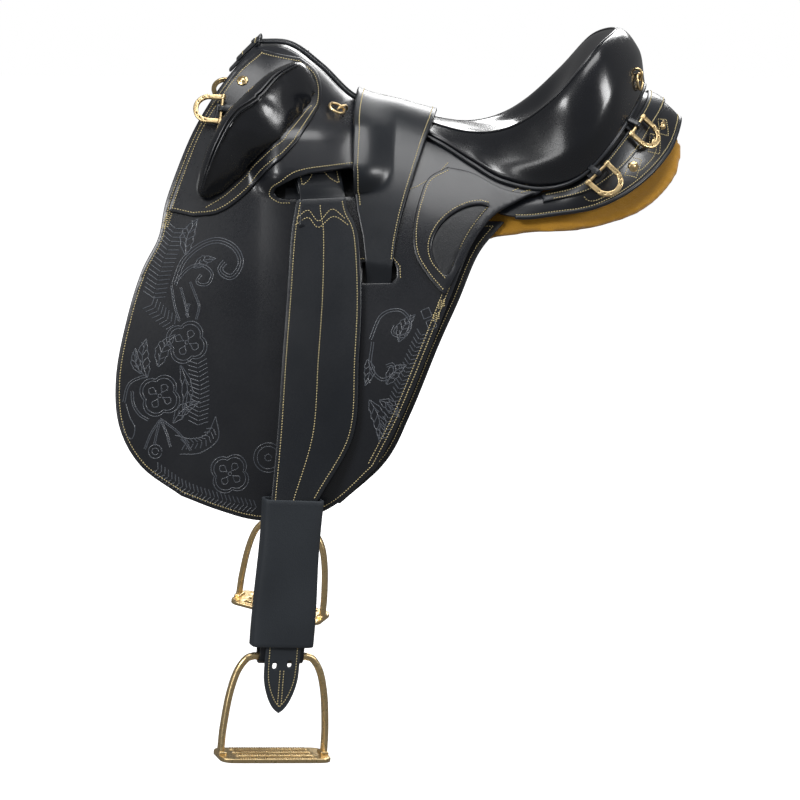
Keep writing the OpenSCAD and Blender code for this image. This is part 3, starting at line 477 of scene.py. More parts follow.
class Nodes:
    """Short calls for building a material's nodes."""

    def __init__(self, name, slot):
        self.material = bpy.data.materials.new(name)
        self.material.use_nodes = True
        self.tree = self.material.node_tree
        self.shader = self.tree.nodes["Principled BSDF"]
        self.place = self.new("ShaderNodeTexCoord").outputs["Object"]
        MATERIALS[name] = self.material

    def new(self, kind, **values):
        node = self.tree.nodes.new(kind)
        for key, value in values.items():
            setattr(node, key, value)
        return node

    def link(self, a, b):
        self.tree.links.new(a, b)

    def set(self, **values):
        for key, value in values.items():
            self.shader.inputs[key.replace("_", " ")].default_value = value

    def noise(self, scale, detail=3.0, rough=0.55):
        node = self.new("ShaderNodeTexNoise")
        node.inputs["Scale"].default_value = scale
        node.inputs["Detail"].default_value = detail
        node.inputs["Roughness"].default_value = rough
        self.link(self.place, node.inputs["Vector"])
        return node.outputs["Fac"]

    def cells(self, scale, feature="F1"):
        node = self.new("ShaderNodeTexVoronoi", feature=feature)
        node.inputs["Scale"].default_value = scale
        self.link(self.place, node.inputs["Vector"])
        return node.outputs["Distance"]

    def ramp(self, source, low, high, at=(0.3, 0.7)):
        node = self.new("ShaderNodeMapRange")
        node.inputs["From Min"].default_value = at[0]
        node.inputs["From Max"].default_value = at[1]
        node.inputs["To Min"].default_value = low
        node.inputs["To Max"].default_value = high
        self.link(source, node.inputs["Value"])
        return node.outputs["Result"]

    def math(self, operation, a, b):
        node = self.new("ShaderNodeMath", operation=operation)
        for socket, value in zip(node.inputs, (a, b)):
            if isinstance(value, (int, float)):
                socket.default_value = value
            else:
                self.link(value, socket)
        return node.outputs[0]

    def colours(self, source, a, b):
        node = self.new("ShaderNodeMix", data_type="RGBA")
        node.inputs["A"].default_value = (*a, 1)
        node.inputs["B"].default_value = (*b, 1)
        self.link(source, node.inputs["Factor"])
        return node.outputs["Result"]

    def bump(self, height, strength, distance):
        node = self.new("ShaderNodeBump")
        node.inputs["Strength"].default_value = strength
        node.inputs["Distance"].default_value = distance
        self.link(height, node.inputs["Height"])
        self.link(node.outputs["Normal"], self.shader.inputs["Normal"])


def leather(name, slot, dark, light, rough, coat, grain, strength):
    """Finished leather: fine pebbled grain, soft blotches of tone, and duller, paler rubbed edges."""
    n = Nodes(name, slot)
    blotch = n.noise(14, 4)
    edge = n.ramp(n.new("ShaderNodeNewGeometry").outputs["Pointiness"], 0, 1, at=(0.52, 0.62))
    tone = n.math("ADD", n.math("MULTIPLY", blotch, 0.8), n.math("MULTIPLY", edge, 0.5))
    n.link(n.colours(tone, dark, light), n.shader.inputs["Base Color"])
    sheen = n.ramp(n.noise(9, 5), rough - 0.05, rough + 0.07)
    fine = n.ramp(n.noise(420, 3), -0.03, 0.03)
    n.link(n.math("ADD", n.math("ADD", sheen, fine), n.math("MULTIPLY", edge, 0.12)), n.shader.inputs["Roughness"])
    pebbles = n.cells(grain)
    creases = n.noise(grain * 0.35, 4)
    n.bump(n.math("ADD", n.math("MULTIPLY", pebbles, 0.6), creases), strength, 0.0004)
    n.set(Coat_Weight=coat, Coat_Roughness=0.16, Specular_IOR_Level=0.5)


def make_materials():
    leather("leather_black", "saddle_leather", (0.006, 0.007, 0.010), (0.013, 0.015, 0.020), 0.30, 0.35, 900, 0.16)
    leather("leather_strap", "strap_leather", (0.006, 0.008, 0.011), (0.015, 0.018, 0.024), 0.36, 0.22, 1100, 0.2)
    leather("leather_pad", "saddle_leather", (0.005, 0.006, 0.008), (0.011, 0.012, 0.016), 0.24, 0.45, 800, 0.12)
    leather("leather_grain", "saddle_leather", (0.007, 0.008, 0.010), (0.016, 0.018, 0.022), 0.42, 0.1, 480, 0.6)
    # The tooled lines get a paler grey-blue base colour than the black leather they are cut in: a painted highlight
    # along the tooling.
    leather("tooling_painted_highlight", "saddle_leather", (0.050, 0.056, 0.068), (0.100, 0.110, 0.130), 0.28, 0.4, 900, 0.1)
    leather("leather_matte", "sleeve_leather", (0.020, 0.025, 0.032), (0.040, 0.048, 0.058), 0.66, 0.0, 700, 0.35)
    brass()
    thread()
    suede()
    steel()
    wood()
    foam()


def brass():
    n = Nodes("brass", "brass")
    n.link(n.colours(n.noise(120, 4), (0.80, 0.56, 0.26), (0.95, 0.76, 0.44)), n.shader.inputs["Base Color"])
    n.link(n.ramp(n.noise(260, 4), 0.24, 0.40), n.shader.inputs["Roughness"])
    n.bump(n.noise(900, 3), 0.12, 0.0002)
    n.set(Metallic=1.0)


def thread():
    n = Nodes("thread", "saddle_leather")
    n.link(n.colours(n.noise(600, 2), (0.60, 0.46, 0.16), (0.86, 0.74, 0.42)), n.shader.inputs["Base Color"])
    n.bump(n.noise(2600, 2), 0.5, 0.0002)
    n.set(Roughness=0.62, Sheen_Weight=0.3)


def suede():
    """Mustard suede with a brushed nap."""
    n = Nodes("suede", "panel_suede")
    tone = n.math("ADD", n.math("MULTIPLY", n.noise(25, 4), 0.6), n.math("MULTIPLY", n.noise(500, 4), 0.4))
    n.link(n.colours(tone, (0.42, 0.18, 0.012), (0.72, 0.38, 0.04)), n.shader.inputs["Base Color"])
    n.bump(n.math("ADD", n.noise(900, 5, 0.7), n.math("MULTIPLY", n.noise(130, 3), 1.2)), 0.7, 0.0009)
    n.set(Roughness=0.92, Sheen_Weight=0.6, Sheen_Roughness=0.5, Specular_IOR_Level=0.2)


def steel():
    n = Nodes("steel", "bar_steel")
    n.link(n.colours(n.noise(90, 4), (0.32, 0.33, 0.35), (0.52, 0.53, 0.55)), n.shader.inputs["Base Color"])
    n.link(n.ramp(n.noise(500, 3), 0.26, 0.44), n.shader.inputs["Roughness"])
    n.bump(n.noise(1200, 2), 0.1, 0.0002)
    n.set(Metallic=1.0)


def wood():
    n = Nodes("wood", "tree_wood")
    wave = n.new("ShaderNodeTexWave")
    wave.inputs["Scale"].default_value = 28
    wave.inputs["Distortion"].default_value = 5
    n.link(n.place, wave.inputs["Vector"])
    n.link(n.colours(wave.outputs["Fac"], (0.30, 0.17, 0.08), (0.46, 0.30, 0.16)), n.shader.inputs["Base Color"])
    n.bump(wave.outputs["Fac"], 0.2, 0.0004)
    n.set(Roughness=0.6)


def foam():
    n = Nodes("foam", "seat_foam")
    n.link(n.colours(n.noise(180, 5), (0.42, 0.36, 0.24), (0.60, 0.53, 0.38)), n.shader.inputs["Base Color"])
    n.bump(n.cells(700), 0.6, 0.0006)
    n.set(Roughness=0.95)


NODE_MATERIAL = {
    "saddle_leather": "leather_black", "strap_leather": "leather_strap", "sleeve_leather": "leather_matte",
    "panel_suede": "suede", "brass": "brass", "bar_steel": "steel", "tree_wood": "wood", "seat_foam": "foam",
}


def dress_nodes():
    """Gives every CAD node the material of its slot."""
    slots = {s["node"]: s["material_slot"] for s in frame["record"]["subparts"]}
    for name, node in frame["nodes"].items():
        material = MATERIALS[NODE_MATERIAL[slots[name]]]
        for index in range(len(node.material_slots)):
            node.material_slots[index].material = material


# ---------------------------------------------------------------- padding by cloth simulation

def inflate(piece, voxel, pressure, cap):
    """Swells a closed pad with a cloth simulation, and caps how far a point may move."""
    scene = bpy.context.scene
    bpy.context.view_layer.objects.active = piece
    remesh = piece.modifiers.new("remesh", "REMESH")
    remesh.mode = "VOXEL"
    remesh.voxel_size = voxel * MM
    remesh.use_smooth_shade = True
    bpy.ops.object.modifier_apply(modifier=remesh.name)
    rest = np.array([v.co[:] for v in piece.data.vertices])
    cloth = piece.modifiers.new("cloth", "CLOTH")
    cloth.settings.use_pressure = True
    cloth.settings.uniform_pressure_force = pressure
    cloth.settings.effector_weights.gravity = 0
    cloth.settings.quality = 4
    cloth.settings.tension_stiffness = 25
    cloth.settings.bending_stiffness = 2
    cloth.point_cache.frame_start = 1
    cloth.point_cache.frame_end = 20
    for step in range(1, 21):
        scene.frame_set(step)
    graph = bpy.context.evaluated_depsgraph_get()
    swollen = np.array([v.co[:] for v in piece.evaluated_get(graph).data.vertices])
    piece.modifiers.remove(cloth)
    scene.frame_set(1)
    if len(swollen) != len(rest):
        return
    move = swollen - rest
    length = np.linalg.norm(move, axis=1, keepdims=True)
    move = move * np.minimum(1, cap * MM / np.maximum(length, 1e-9))
    piece.data.vertices.foreach_set("co", (rest + move).ravel())
    piece.data.update()
    smooth = piece.modifiers.new("subdivision", "SUBSURF")
    smooth.levels = 1
    smooth.render_levels = 1


# ---------------------------------------------------------------- pairs and outlines

def pair(name, mesh, material, body="saddle", hung=False, stands_for=None, slot=None):
    """The same piece on both sides. body may hold a {} for the side's name; stands_for gets _ and the side's name
    added.
    """
    made = {}
    for label, side in SIDES.items():
        ride_on = body.format(label) if body else None
        piece = add_piece(f"{name}_{label}", mesh[0], mesh[1], material, ride_on, side, hung, slot)
        if stands_for:
            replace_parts(piece, f"{stands_for}_{label}")
        made[label] = piece
    return made


def on_skin(x, z, d):
    return skin(x, z, d, 1)


def under_skin(x, z, d):
    return skin(x, z, d, 0)


def loop_of(top, bottom, front, rear, n=60):
    t = np.linspace(0, 1, n)
    return np.vstack([curve(front, t), curve(bottom, t)[1:], curve(rear, t)[::-1][1:], curve(top, t)[::-1][1:-1]])


def strip_loop(front, rear):
    return loop_of([front[0], rear[0]], [front[-1], rear[-1]], front, rear)


def offset_path(path, r):
    """Open flat path moved to its left by r."""
    p = resample(path, 2.0)
    run = unit(np.gradient(p, axis=0))
    return p + r * np.stack([-run[:, 1], run[:, 0]], axis=1)


def closed_path(loop, r):
    """Closed flat path inside an anticlockwise loop by r, for a row of stitches."""
    p = resample(loop, 2.0, closed=True)
    p = p if area(p) > 0 else p[::-1]
    q = inset(p, r)
    q = q[distance(q, [p]) > 0.85 * r]
    return np.vstack([q, q[:1]])


WELT_LINE = [(-46, 112), (0, 97), (45, 80), (88, 58), (126, 40), (150, 35), (176, 33)]
FLAP_TOP = [(-176, 186), (-138, 184), (-97, 158), (-58, 121), (0, 99), (45, 82), (87, 60), (123, 43), (150, 36),
            (176, 35)]
FLAP_FRONT = [(-176, 186), (-200, 160), (-222, 130), (-242, 95), (-258, 56), (-272, 14), (-279, -24), (-298, -62),
              (-314, -115), (-326, -180), (-322, -238), (-296, -284), (-248, -318)]
FLAP_BOTTOM = [(-248, -318), (-204, -334), (-160, -345), (-110, -344), (-66, -326), (-20, -284)]
FLAP_REAR = [(176, 35), (170, 25), (148, 19), (122, 6), (104, -12), (88, -36), (66, -89), (43, -146), (10, -225),
             (-20, -284)]
LEATHER_SLOT = [(-143, 29), (-140, 36), (-130, 42), (-118, 47), (-102, 51), (-75, 53), (-55, 54), (-44, 52),
                (-39, 46), (-41, 21), (-130, 20), (-139, 23)]
GIRTH_SLOT = [(-38, -52), (-2, -51), (2, -58), (2, -68), (-3, -74), (-38, -75)]


def slot_lining():
    """Black lining behind the slot of the flap, between the flap and the tree bar."""
    loop = [(-152, 8), (-30, 8), (-30, 62), (-152, 62)]
    pair("slot_lining", sheet_mesh(loop, [], under_skin, -7.0, -7.8, 6.0, 0.3), "leather_grain")


def flap():
    loop = loop_of(FLAP_TOP, FLAP_BOTTOM, FLAP_FRONT, FLAP_REAR)
    mesh = sheet_mesh(loop, [LEATHER_SLOT, GIRTH_SLOT], on_skin, LEATHER, 0.0, 5.0, 1.3)
    pair("flap", mesh, "leather_black", stands_for="flap")
    t = np.linspace(0, 1, 80)
    around = np.vstack([curve(FLAP_FRONT, t)[8:], curve(FLAP_BOTTOM, t)[1:], curve(FLAP_REAR, t)[::-1][1:]])
    rear = curve(FLAP_REAR, t)[::-1]
    slot_top = curve([(-124, 15), (-138, 16), (-148, 24), (-145, 36), (-134, 45), (-120, 52), (-102, 56), (-75, 58),
                      (-53, 59)], np.linspace(0, 1, 60))
    girth_top = [(-42, -48), (-2, -47), (6, -56), (7, -68)]
    under_seat = [(12, 26), (24, 30), (40, 38), (52, 46), (60, 54)]
    paths = [offset_path(around, 5), offset_path(rear, 10), slot_top, girth_top, under_seat]
    for x, z in ((60, -92), (54, -106)):
        paths += [[(x, z - 2.2 * k), (x - 9, z - 4 - 2.2 * k)] for k in range(4)]
    paths += [[(-269 - 0.8 * k, 8 - 2.4 * k), (-260 - 0.8 * k, 10 - 2.4 * k)] for k in range(10)]
    pair("flap_stitches", stitch_mesh(paths, on_skin, LEATHER + 0.1), "thread")


# ---------------------------------------------------------------- tooling on the flaps

def turned(points, cx, cz, degrees):
    a = math.radians(degrees)
    p = np.asarray(points, float)
    return np.stack([cx + p[:, 0] * math.cos(a) - p[:, 1] * math.sin(a),
                     cz + p[:, 0] * math.sin(a) + p[:, 1] * math.cos(a)], axis=1)


def flower(cx, cz, r, turn):
    """Four-petalled flower: a double outline, four loops and a seed in the middle."""
    a = np.linspace(0, 2 * np.pi, 73)
    lines = []
    for size in (1.0, 0.85):
        rho = r * size * (0.76 + 0.24 * np.abs(np.cos(2 * a)) ** 0.8)
        lines.append(turned(np.stack([rho * np.cos(a), rho * np.sin(a)], axis=1), cx, cz, turn))
    t = np.linspace(0, 1, 24)
    out = r * (0.14 + 0.46 * t)
    wide = r * 0.17 * np.sin(np.pi * t ** 1.7)
    for k in range(4):
        for way in (-1, 1):
            lines.append(turned(np.stack([out, way * wide], axis=1), cx, cz, turn + 90 * k))
    lines.append(circle(cx, cz, r * 0.09, 12))
    return lines


def leaf(cx, cz, length, width, turn, lobes=5):
    """Acanthus leaf from its stem at (cx, cz), with lobed edges and veins."""
    t = np.linspace(0, 1, 40)
    edge = width * np.sin(np.pi * t ** 0.8) * (1 - 0.22 * np.abs(np.sin(np.pi * lobes * t)))
    bend = 0.12 * length * np.sin(np.pi * t)
    lines = [turned(np.stack([length * t, bend + edge], axis=1), cx, cz, turn),
             turned(np.stack([length * t, bend - edge], axis=1), cx, cz, turn),
             turned(np.stack([length * t * 0.94, bend], axis=1), cx, cz, turn)]
    for k in range(1, lobes):
        at = k / lobes
        rise = 0.12 * length * math.sin(math.pi * at)
        for way in (-1, 1):
            tip = (length * (at + 0.12), rise + way * width * 0.66 * math.sin(math.pi * min(1, at + 0.06)))
            lines.append(turned([(length * at * 0.94, rise), tip], cx, cz, turn))
    return lines


def scroll(points, gaps=(0.0, 2.6)):
    """Curling stem: a smooth line drawn once for each gap beside it."""
    smooth = curve(points, np.linspace(0, 1, 60))
    return [offset_path(smooth, gap) for gap in gaps]


def herringbone(path, width, pitch=5.0):
    p = resample(curve(path, np.linspace(0, 1, 40)), pitch)
    run = unit(np.gradient(p, axis=0))
    left = np.stack([-run[:, 1], run[:, 0]], axis=1)
    lines = []
    for k in range(len(p)):
        for way in (-1, 1):
            lines.append(np.array([p[k] + way * 0.6 * left[k], p[k] + way * width / 2 * left[k] - 4.6 * run[k]]))
    return lines


def tooling():
    lines = []
    lines += herringbone([(-259, -14), (-267, -36), (-275, -60), (-283, -92)], 27)
    lines += herringbone([(-285, -100), (-272, -112), (-258, -122)], 20)
    lines += leaf(-246, -44, 43, 9, 72)
    lines += scroll([(-256, -78), (-246, -52), (-228, -36), (-208, -30), (-190, -38), (-184, -52), (-192, -65),
                     (-202, -60), (-197, -53)], (0.0, 3.0, 6.0))
    lines += scroll([(-257, -76), (-242, -60), (-228, -56), (-216, -64), (-220, -75), (-231, -74), (-226, -66)])
    lines += leaf(-236, -58, 28, 6, 22, 4)
    for stem in ([(-263, -78), (-259, -100), (-253, -118)], [(-252, -80), (-246, -100), (-243, -114)],
                 [(-241, -74), (-234, -90), (-230, -102), (-233, -116)], [(-243, -112), (-240, -98)]):
        lines += scroll(stem, (0.0, 1.8))
    lines += flower(-243, -142, 25, 65)
    lines += herringbone([(-230, -166), (-227, -198), (-229, -236)], 23)
    lines += leaf(-289, -182, 44, 9, 92) + leaf(-276, -170, 42, 9, 62)
    lines += leaf(-296, -178, 30, 6, 104, 4)
    lines += flower(-274, -203, 25, 60)
    lines += scroll([(-315, -211), (-310, -192), (-298, -184), (-288, -182)], (0.0, 2.6))
    lines += scroll([(-314, -212), (-309, -228), (-303, -240), (-307, -253), (-316, -244), (-317, -232)], (0.0,))
    lines += scroll([(-308, -198), (-306, -214), (-298, -226), (-288, -232)], (0.0, 2.6))
    lines += leaf(-250, -168, 62, 7, -88, 4) + leaf(-258, -234, 40, 7, 38, 4)
    for x, z in ((-292, -264), (-281, -260), (-262, -262), (-238, -266)):
        lines += scroll([(-274, -230), (mix(-274, x, 0.6), -246), (x, z)], (0.0, 1.8))
    lines += scroll([(-250, -270), (-226, -268), (-205, -252), (-208, -226)], (0.0,))
    lines += scroll([(-208, -226), (-218, -246), (-236, -252), (-256, -248)], (0.0,))
    lines += herringbone([(-244, -258), (-222, -254), (-211, -240)], 13)
    lines += [circle(-279, -267, 8, 24), circle(-279, -267, 4, 14)]
    lines += herringbone([(-276, -288), (-244, -308), (-204, -321), (-160, -330)], 15)
    lines += flower(-191, -292, 24, 55)
    lines += [circle(-146, -273, 17, 30), circle(-146, -273, 13, 26), circle(-146, -273, 4, 12)]
    lines += scroll([(-26, -138), (-14, -112), (6, -106), (18, -118), (12, -132), (0, -130), (3, -122)], (0.0, 2.8))
    lines += scroll([(-26, -140), (-28, -168), (-14, -184), (2, -176), (0, -164), (-9, -166)], (0.0, 2.8))
    lines += leaf(6, -140, 36, 8, 58) + leaf(-8, -188, 32, 8, 44, 4) + leaf(-28, -206, 50, 9, -76)
    lines += leaf(-16, -206, 30, 7, -40, 4) + leaf(-30, -160, 30, 7, -96, 4)
    lines += herringbone([(32, -132), (14, -174), (-4, -222), (-14, -250)], 15)
    for x, z in ((38, -108), (44, -120)):
        lines.append(turned([(-5, -5), (5, -5), (5, 5), (-5, 5), (-5, -5)], x, z, 22))
    # The tooled lines are drawn in the paler material, a painted highlight on the black flap.
    pair("flap_tooling", groove_mesh(lines, on_skin, LEATHER + 0.05, 0.8), "tooling_painted_highlight")


# ---------------------------------------------------------------- overlays, knee pads

SKIRT_TOP = [(60, 49), (90, 43), (124, 28), (150, 23), (165, 24)]
SKIRT_FRONT = [(60, 49), (38, 38), (28, 18), (21, -12), (23, -42), (36, -64), (54, -84)]
SKIRT_BOTTOM = [(54, -84), (57, -86), (60, -88)]
SKIRT_REAR = [(165, 24), (146, 15), (119, 1), (101, -17), (85, -42), (72, -66), (60, -88)]
SKIRT_WINDOW = [(110, 8), (98, 10), (80, 6), (62, -4), (49, -18), (43, -34), (47, -50), (62, -66), (76, -38), (92, -12)]


def skirt():
    loop = loop_of(SKIRT_TOP, SKIRT_BOTTOM, SKIRT_FRONT, SKIRT_REAR)
    window = curve(SKIRT_WINDOW + SKIRT_WINDOW[:1], np.linspace(0, 1, 90))[:-1]
    mesh = sheet_mesh(loop, [window], on_skin, LEATHER + 3.2, LEATHER + 0.1, 4.0, 1.2)
    pair("skirt", mesh, "leather_black", stands_for="skirt")
    front = curve(SKIRT_FRONT, np.linspace(0, 1, 60))
    arc = curve(SKIRT_WINDOW[:8], np.linspace(0, 1, 60))
    paths = [offset_path(front, 4), offset_path(arc, -4)]
    pair("skirt_stitches", stitch_mesh(paths, on_skin, LEATHER + 3.3), "thread")
    inner = sheet_mesh(inset(resample(window, 2, True), 0), [], on_skin, LEATHER + 0.35, LEATHER - 1, 4.0, 0.1)
    pair("skirt_window", inner, "leather_grain")


FACING_FRONT = [(-166, 181), (-192, 160), (-216, 128), (-236, 94), (-251, 56), (-264, 18), (-268, 5)]
FACING_REAR = [(-122, 172), (-103, 156), (-95, 134), (-99, 112), (-120, 82), (-151, 50), (-182, 20), (-209, 3),
               (-238, -1)]
FACING_TOP = LEATHER + 3.2


def knee_facing():
    loop = strip_loop(FACING_FRONT, FACING_REAR)
    mesh = sheet_mesh(loop, [], on_skin, FACING_TOP, LEATHER + 0.1, 4.0, 1.1)
    pair("knee_facing", mesh, "leather_black", stands_for="knee_facing")
    behind_pad = curve([(-108, 122), (-121, 104), (-149, 74), (-172, 52), (-201, 26), (-224, 12)], np.linspace(0, 1, 60))
    paths = [closed_path(loop, 4), offset_path(behind_pad, 3)]
    pair("facing_stitches", stitch_mesh(paths, on_skin, FACING_TOP + 0.1), "thread")


PAD_FRONT = [(-126, 166), (-150, 152), (-178, 132), (-203, 104), (-221, 72), (-232, 42), (-236, 22)]
PAD_REAR = [(-104, 150), (-103, 128), (-118, 104), (-144, 77), (-170, 52), (-198, 28), (-222, 14)]
PAD_CREST = [(-122, 160), (-141, 136), (-157, 110), (-186, 93), (-204, 68), (-218, 40), (-228, 16)]
PAD_RISE = [12, 36, 50, 52, 46, 34, 12]
PAD_BASE = FACING_TOP + 0.3


def pad_lines(u):
    """Front foot, crest and rear foot of the knee pad at u."""
    a, b, c = curve(PAD_FRONT, u), curve(PAD_REAR, u), curve(PAD_CREST, u)
    rise = curve([[r] for r in PAD_RISE], u)[..., 0]
    lift = LEATHER + 7.8
    return (on_skin(a[..., 0], a[..., 1], PAD_BASE), under_skin(c[..., 0], c[..., 1], lift + rise),
            on_skin(b[..., 0], b[..., 1], PAD_BASE))


def knee_pad():
    n, m = 56, 44
    u = np.linspace(0, 1, n)
    pa, pc, pb = pad_lines(u)
    a, b = curve(PAD_FRONT, u), curve(PAD_REAR, u)
    base = [on_skin(*mix(b, a, k / 4).T, PAD_BASE) for k in (1, 2, 3)]
    control = [pa, mix(pa, pc, 0.5) + 0.12 * (pc - pb), mix(pc, pa, 0.14), mix(pc, pb, 0.10),
               mix(pb, pc, 0.5) + 0.05 * (pc - pa), pb] + base
    k = len(control)
    ghosted = np.stack([control[-1]] + control + [control[0], control[1]])
    rings = []
    for j in range(m):
        w = j * k / m
        i = int(w)
        f = w - i
        p0, p1, p2, p3 = ghosted[i], ghosted[i + 1], ghosted[i + 2], ghosted[i + 3]
        rings.append(p1 + f * ((p2 - p0) / 2 + f * ((p0 - 2.5 * p1 + 2 * p2 - 0.5 * p3)
                                                   + f * (1.5 * (p1 - p2) + 0.5 * (p3 - p0)))))
    rings = np.stack(rings, axis=1)
    centre = rings.mean(axis=1, keepdims=True)
    near_end = np.minimum(u, 1 - u) / 0.07
    shrink = np.sqrt(np.maximum(0.02, 1 - (1 - clamp01(near_end)) ** 2))[:, None, None]
    rings = centre + (rings - centre) * shrink
    faces = grid_faces(n, m, close=True) + [tuple(range(m - 1, -1, -1)), tuple((n - 1) * m + j for j in range(m))]
    made = pair("knee_pad", (rings.reshape(-1, 3), [tuple(reversed(f)) for f in faces]), "leather_pad",
                stands_for="knee_pad")
    for piece in made.values():
        inflate(piece, 4, 4, 2.0)
    v = np.linspace(0.06, 0.95, 70)
    pa, pc, pb = pad_lines(v)
    out = unit(pc - mix(pa, pb, 0.5))
    welts = [tube_mesh(mix(pc, pa, share) + out * 2.2 - (pc - pb) * back, 1.5, 10) for share, back in ((0.10, 0.0), (0.0, 0.07))]
    pair("knee_pad_welts", joined(*welts), "leather_pad")


# ---------------------------------------------------------------- pommel and overgirth

def along_ridge(x, z, d):
    """Flat strip over the ridge: x along it, z across it in millimetres."""
    return arch(x, z / 5.6, d)


def pommel():
    loop = [(-176, -62), (-52, -62), (-52, 62), (-176, 62)]
    strip = add_piece("pommel_strip", *sheet_mesh(loop, [], along_ridge, -0.4, -3.4, 5.0, 1.0), "leather_black")
    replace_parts(strip, "pommel_strip")
    x = np.linspace(-180, -50, 60)
    tubes = [tube_mesh(arch(x, np.full(60, a), 3.6), 2.2, 10) for a in (-4.2, 4.2)]
    add_piece("pommel_piping", *joined(*tubes), "leather_strap")
    layers = []
    for layer in (0, 1):
        def tab(x, z, d, layer=layer):
            p = arch(x, z / 5.6, 2.0 + 3.4 * layer + d)
            p[..., 2] -= 1.05 * (-174 - x)
            return p
        end = -205 + 9 * layer
        shape = [(end, -42), (end - 3, -22), (end - 4, 0), (end - 3, 22), (end, 42), (-170, 50), (-170, -50)]
        layers.append(sheet_mesh(shape, [], tab, 3.0, 0.0, 4.0, 1.0))
        if layer == 1:
            rows = [[(end + 5, -38), (end + 3, 0), (end + 5, 38)], [(-176, -44), (-176, 44)]]
            add_piece("pommel_tab_stitches", *stitch_mesh(rows, tab, 3.1), "thread")
    tabs = add_piece("pommel_tabs", *joined(*layers), "leather_strap")
    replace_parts(tabs, "pommel_tabs")


GIRTH_ANGLE = [0, 6, 12, 18, 24, 30, 36, 42, 48, 54, 59.3, 62.6, 65, 72, 79, 86]
GIRTH_FRONT = [-58, -58, -57, -56, -55, -54, -53, -51, -46, -38, -34, -34, -34, -34, -34, -34]
GIRTH_REAR = [43, 42, 40, 36, 31, 26, 20, 13, 6, 0, -3, -4, -5, -6, -6, -6]
GIRTH_DEPTH = [11.6, 11.6, 11.6, 11.6, 11.6, 11.4, 10.6, 9, 7, 5.6, 5, -5.2, -7.6, -8, -8, -8]


def on_girth(x, z, d):
    """Flat overgirth: x round the saddle at 5.6 mm a degree, z from its front edge to its rear edge."""
    a = np.asarray(x, float) / 5.6
    size = np.abs(a)
    front = np.interp(size, GIRTH_ANGLE, GIRTH_FRONT)
    rear = np.interp(size, GIRTH_ANGLE, GIRTH_REAR)
    depth = np.interp(size, GIRTH_ANGLE, GIRTH_DEPTH)
    return arch(mix(front, rear, np.asarray(z, float) / 100), a, depth + d, 1)


def overgirth():
    end = 86 * 5.6
    mesh = sheet_mesh([(-end, 0), (end, 0), (end, 100), (-end, 100)], [], on_girth, 3.5, 0.0, 5.0, 1.4)
    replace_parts(add_piece("overgirth", *mesh, "leather_strap"), "overgirth")
    rows = [[(x, z) for x in np.linspace(-reach * 5.6, reach * 5.6, 90)] for z, reach in ((8, 47), (94, 58))]
    add_piece("overgirth_stitches", *stitch_mesh(rows, on_girth, 3.6), "thread", slot="strap_leather")


# ---------------------------------------------------------------- seat

SEAT_CENTRE = [(-45, 0, 122.5), (-4, 0, 114), (40, 0, 100), (78, 0, 94), (112, 0, 88), (138, 0, 86), (158, 0, 88),
               (176, 0, 93), (188, 0, 99)]
SEAT_DISH = [(-45, 12, 122.3), (-3, 12, 113.5), (41, 17, 99.5), (81, 30, 92.5), (117, 46, 89), (149, 60, 95),
             (180, 68, 112), (206, 52, 140), (226, 0, 152)]
SEAT_RIM = [(-45, 20, 122.5), (-2, 23, 113), (42, 33, 97.5), (84, 58, 90), (122, 88, 95), (158, 112, 114),
            (198, 124, 150), (236, 92, 194), (262, 0, 209)]
SEAT_SIDE = [(-46, 28, 122.5), (-1, 37, 111), (44, 51, 92.5), (87, 80, 79), (125, 110, 68), (174, 134, 70),
             (220, 144, 98), (260, 106, 158), (290, 0, 186)]
SEAT_LIFT = 9.6
SEAT_BACK = [(224, 138, 56), (270, 104, 108), (298, 0, 147)]


def seat_edge(drop, lift):
    front = [skin(x, z - drop, lift).tolist() for x, z in WELT_LINE if x != 150]
    return front + [(x, y, z - drop) for x, y, z in SEAT_BACK]


def curve_rows(rows, u):
    """Smooth curve through rows of points, K rows of N points, each at its own u from 0 to 1."""
    r = np.concatenate([2 * rows[:1] - rows[1:2], rows, 2 * rows[-1:] - rows[-2:-1]])
    last = len(rows) - 1
    w = clamp01(u) * last
    i = np.minimum(last - 1, np.floor(w)).astype(int)
    f = (w - i)[:, None]
    k = np.arange(len(u))
    a, b, c, d = r[i, k], r[i + 1, k], r[i + 2, k], r[i + 3, k]
    return b + f * ((c - a) / 2 + f * ((a - 2.5 * b + 2 * c - 0.5 * d) + f * (1.5 * (b - c) + 0.5 * (d - a))))


def round_seat(points, s):
    p = list(points)
    q = p[-2]
    k = len(p)
    return curve(p + [(q[0], -q[1], q[2])], np.asarray(s, float) * (k - 1) / k)


def seat_point(s, t):
    s, t = np.broadcast_arrays(np.asarray(s, float), np.asarray(t, float))
    shape = s.shape
    s, t = s.ravel(), t.ravel()
    c = round_seat(SEAT_CENTRE, s)
    m = round_seat(SEAT_DISH, s)
    ghost = np.stack([2 * c[:, 0] - m[:, 0], -m[:, 1], m[:, 2]], axis=1)
    rows = np.stack([ghost, c, m, round_seat(SEAT_RIM, s), round_seat(SEAT_SIDE, s),
                     round_seat(seat_edge(0, SEAT_LIFT), s)])
    return curve_rows(rows, (1 + 4 * t) / 5).reshape(*shape, 3)


def seat_skin(s, t, d):
    e = 0.01
    along = seat_point(np.minimum(1, s + e), t) - seat_point(np.maximum(0, s - e), t)
    across = seat_point(s, np.minimum(1, t + e)) - seat_point(s, np.maximum(0, t - e))
    return seat_point(s, t) + d * unit(np.cross(along, across))


